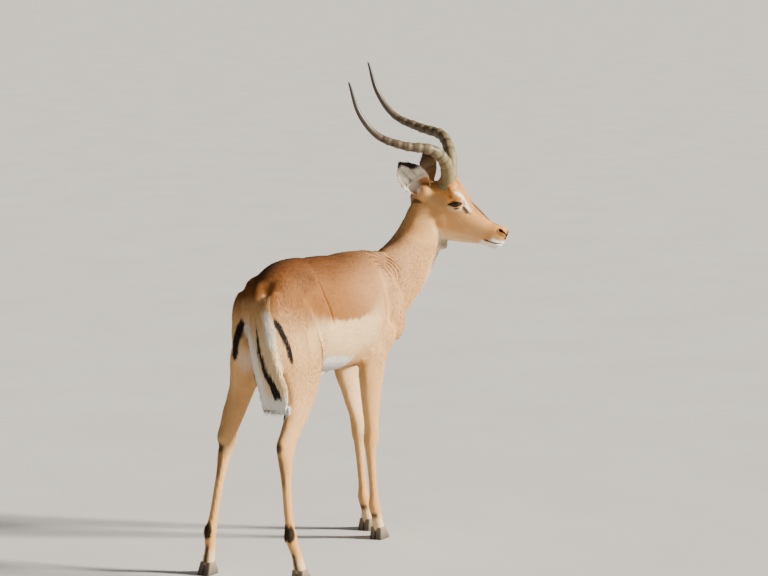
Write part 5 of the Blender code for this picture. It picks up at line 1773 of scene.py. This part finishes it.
def horn_finish():
    """Keratin: olive-grey at the root, browner up the rings, dark and smoother at the tip."""
    made = Finish("ringed_keratin", 0.46, 0.45)
    along = made.attribute("along")
    tones = made.ramp(along, [(0.0, linear(118, 108, 72)), (0.16, linear(124, 112, 76)),
                              (0.40, linear(110, 95, 70)), (0.66, linear(90, 76, 62)),
                              (1.0, linear(50, 45, 42))])
    grooved = made.node("ShaderNodeMix", data_type="RGBA", blend_type="MULTIPLY")
    grooved.inputs[7].default_value = (0.45, 0.38, 0.33, 1)
    made.join(made.attribute("groove"), grooved.inputs[0])
    made.join(tones, grooved.inputs[6])
    speck = made.noise(Scale=160.0, Detail=5.0, Roughness=0.65)
    made.paint(grooved.outputs[2], made.ranged(speck, 0.72, 1.30))
    made.join(made.ranged(along, 0.62, 0.32), made.shader.inputs["Roughness"])
    made.bump(speck, 0.5, 0.0006)
    return made.material


def float_layer(mesh, name, values=None):
    if values is None:
        values = np.empty(len(mesh.vertices), np.float32)
        mesh.attributes[name].data.foreach_get("value", values)
        return values.astype(float)
    mesh.attributes.new(name, "FLOAT", "POINT").data.foreach_set("value", np.asarray(values, np.float32))


HORN_FINISH = horn_finish()
horns = horn_tree(HORN_FINISH)
for side, sign in SIDES:
    path = from_head(catmull_rom(HORN_PATH, 160) * [1, sign, 1])
    mesh = bpy.data.meshes.new("horn_path")
    mesh.from_pydata([tuple(p) for p in path], [(k, k + 1) for k in range(len(path) - 1)], [])
    horn = with_tree(add_object("horn_path", mesh), horns, HORN_SIZES, f"ringed_horn_{side}")
    p, n, along = points_of(horn.data), normals_of(horn.data), float_layer(horn.data, "along")
    turns = along * HORN_SIZES["Rings"] / HORN_SIZES["Ringed Share"]
    low = ((0.5 - 0.5 * np.cos(2 * math.pi * turns)) ** 3 * fall(along, 0.60, 0.70)
           * smooth_step(along, 0.08, 0.26))
    float_layer(horn.data, "groove", low)
    wear = 0.00055 * smooth_noise(p, 0.006, 11) + 0.0008 * smooth_noise(p, 0.022, 12)
    set_points(horn.data, p + n * (wear * (1 - 0.7 * along))[:, None])
    horn.data.shade_smooth()
    pieces.append((horn, "horn"))
    reach = float(np.linalg.norm(p - path[0], axis=1).max())
    print(horn.name, len(horn.data.polygons), "faces, reaches", round(reach, 3))

# %% [markdown]
# ## Hooves
# Each foot stands on two claws with a cleft between them. A claw is a wall of horn that leans in to the
# hairline, with faint growth rings, a worn lower edge and a flat sole. Impala have no false hooves.

# %% Claws
CLAW_LENGTH, CLAW_HALF_WIDTH, CLAW_SPLIT = 0.060, 0.0100, 0.0011
HOOF_HEIGHT = 0.036
CLAW_OUTLINE = [(0.0, -0.62), (0.10, -1.0), (0.55, -1.0), (0.86, -0.66), (1.0, -0.10), (0.97, 0.55), (0.80, 0.92),
                (0.35, 1.0), (0.06, 0.85)]
CLAW_ROWS = [(0.000, 0.000, CLAW_LENGTH, 1.00), (0.012, 0.001, CLAW_LENGTH - 0.004, 1.00),
             (HOOF_HEIGHT - 0.010, 0.003, CLAW_LENGTH - 0.016, 0.93), (HOOF_HEIGHT, 0.004, CLAW_LENGTH - 0.022, 0.88)]
CLAW_STEPS = 40


def round_outline(corners, count):
    """A smooth closed line through corner points."""
    ring = np.array(corners)
    wrapped = np.vstack([ring[-2:], ring, ring[:3]])
    fine = catmull_rom(wrapped, (len(wrapped) - 1) * 12 + 1)
    inner = fine[24:24 + len(ring) * 12]
    return inner[np.linspace(0, len(inner), count, endpoint=False).astype(int)]


def hoof_finish():
    made = Finish("hoof_horn", 0.5, 0.4)
    level = made.node("ShaderNodeSeparateXYZ")
    made.join(made.place, level.inputs["Vector"])
    height = made.ranged(level.outputs["Z"], 0.0, 1.0, HOOF_HEIGHT)
    tones = made.ramp(height, [(0.0, linear(72, 63, 54)), (0.35, linear(94, 83, 70)), (1.0, linear(128, 114, 96))])
    grain = made.noise(Scale=260.0, Detail=4.0)
    made.paint(tones, made.ranged(grain, 0.7, 1.35))
    made.bump(grain, 0.5, 0.0006)
    return made.material


HOOF_FINISH = hoof_finish()
hooves = {}
for leg, end, sign in LEGS:
    sole = LEG_TABLE[end][-1]
    heel = sole[1] - 0.004
    place = stance(leg, sign)
    for claw, inner in (("inner", -1), ("outer", 1)):
        rings = []
        for height, back, front, wide in catmull_rom(CLAW_ROWS, CLAW_STEPS):
            half = CLAW_HALF_WIDTH * wide
            line = round_outline(CLAW_OUTLINE, 56)
            growth = 1 - 0.010 * (0.5 + 0.5 * math.cos(height * 2 * math.pi / 0.0052)) * (height > 0.004)
            line = (line - [0.5, 0]) * growth + [0.5, 0]
            ring = np.column_stack([heel + back + line[:, 0] * (front - back),
                                    sole[3] + inner * (CLAW_SPLIT + half + line[:, 1] * half),
                                    np.full(len(line), height)])
            ring = place(ring)
            ring[:, 2] = max(height, 0.0)
            rings.append(ring)
        first, last = rings[0], rings[-1]
        rings = [first.mean(0) + (first - first.mean(0)) * s for s in (0.5, 0.9)] + [
            (first - first.mean(0)) * 0.965 + first.mean(0)] + [rings[1] * [1, 1, 0] + [0, 0, 0.0008]] + rings[1:]
        rings += [last.mean(0) + (last - last.mean(0)) * s + [0, 0, z] for s, z in ((0.93, 0.0012), (0.6, 0.0022))]
        hoof = skin_rings(f"claw_{leg}_{claw}", rings, bpy.context.scene.collection)
        hoof.data.shade_smooth()
        hoof.data.materials.append(HOOF_FINISH)
        hooves[f"hoof_{leg}_{claw}"] = hoof
        pieces.append((hoof, "hoof"))
print(len(hooves), "claws")

# %% [markdown]
# ## Put it together
# Everything so far lies in the body's own axes, so it now moves over the frame's origin. The hide stands
# for every node of flesh; eyeballs, horns and claws stand for their own nodes.

# %% Ride and replace
FLESH_NODES = ["trunk", "neck", "head", "tail", "scrotum", "ear_left", "ear_right"] + [
    f"{leg}_{part}" for leg, _, _ in LEGS for part in ("upper", "cannon", "pastern")]
skin.name = "hide"
pieces.append((skin, "coat_rufous"))
for piece, slot in pieces:
    piece.data.transform(Matrix.Translation(-Vector(FLOOR_CENTRE)))
    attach(piece, "root")
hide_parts(*FLESH_NODES)
for side, _ in SIDES:
    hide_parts(f"eye_{side}")
    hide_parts(f"horn_{side}")
for node_name, hoof in hooves.items():
    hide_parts(node_name)
bpy.data.collections.remove(flesh)
print(len(pieces), "pieces;", sum(len(p.data.polygons) for p, _ in pieces), "faces in all")

# %% [markdown]
# ## Floor, light and camera
# A plain pale floor, one large warm light from the animal's head side and an even, weak sky. The camera
# stands far off with a long lens, behind and to the right of the animal.

# %% Stage
def pale_floor():
    made = Finish("pale_floor", 0.8, 0.2)
    made.paint(made.ramp(made.noise(Scale=2.0, Detail=3.0), [(0.3, (0.62, 0.61, 0.58)), (0.7, (0.66, 0.65, 0.62))]))
    return made.material


FLOOR_REACH = 90.0
corners = [(x * FLOOR_REACH, y * FLOOR_REACH, 0) for x, y in ((-1, -1), (1, -1), (1, 1), (-1, 1))]
floor = add_object("floor", mesh_from("floor", corners, [(0, 1, 2, 3)]))
floor.data.materials.append(pale_floor())
floor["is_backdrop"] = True

SKY_COLOUR, SKY_STRENGTH = (0.86, 0.90, 1.0, 1), 0.18
sky = bpy.data.worlds.new("studio")
sky.use_nodes = True
backdrop = sky.node_tree.nodes["Background"].inputs
backdrop["Color"].default_value, backdrop["Strength"].default_value = SKY_COLOUR, SKY_STRENGTH
bpy.context.scene.world = sky

CAMERA_AT = Vector((-6.854, -4.403, 1.89)) - Vector(FLOOR_CENTRE)
CAMERA_YAW, CAMERA_DIP = math.radians(31.5), math.radians(7.6)
look = Vector((math.cos(CAMERA_YAW) * math.cos(CAMERA_DIP), math.sin(CAMERA_YAW) * math.cos(CAMERA_DIP),
               -math.sin(CAMERA_DIP)))
camera = bpy.data.objects.new("camera", bpy.data.cameras.new("camera"))
bpy.context.scene.collection.objects.link(camera)
camera.location = CAMERA_AT
camera.rotation_euler = look.to_track_quat("-Z", "Y").to_euler()
SENSOR_WIDTH, LENS, FARTHEST_SEEN = 36.0, 128.906, 400
camera.data.sensor_width = SENSOR_WIDTH
camera.data.lens = LENS
camera.data.clip_end = FARTHEST_SEEN
bpy.context.scene.camera = camera

across = look.cross(Vector((0, 0, 1))).normalized()


def sunlight(name, turn, height, strength, softness, colour):
    """A far lamp: turned from the camera's right towards the camera, that high over the floor (degrees)."""
    lamp = bpy.data.lights.new(name, "SUN")
    lamp.energy, lamp.angle, lamp.color = strength, math.radians(softness), colour
    holder = bpy.data.objects.new(name, lamp)
    bpy.context.scene.collection.objects.link(holder)
    turn, height = math.radians(turn), math.radians(height)
    flat = Vector((look.x, look.y, 0)).normalized()
    towards = (across * math.cos(turn) - flat * math.sin(turn)) * math.cos(height) + Vector((0, 0, math.sin(height)))
    holder.location = towards * 6
    holder.rotation_euler = towards.to_track_quat("Z", "Y").to_euler()


sunlight("key", 10, 23, 12.5, 9, (1.0, 0.94, 0.84))

# %% Sizes of both boxes, and the end
new_low, new_high = (tuple(v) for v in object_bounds())
{"cad": [list(box_low), list(box_high)], "visual": [list(new_low), list(new_high)]}
print("CAD box", np.round(box_low, 4), np.round(box_high, 4))
print("visual box", np.round(new_low, 4), np.round(new_high, 4))
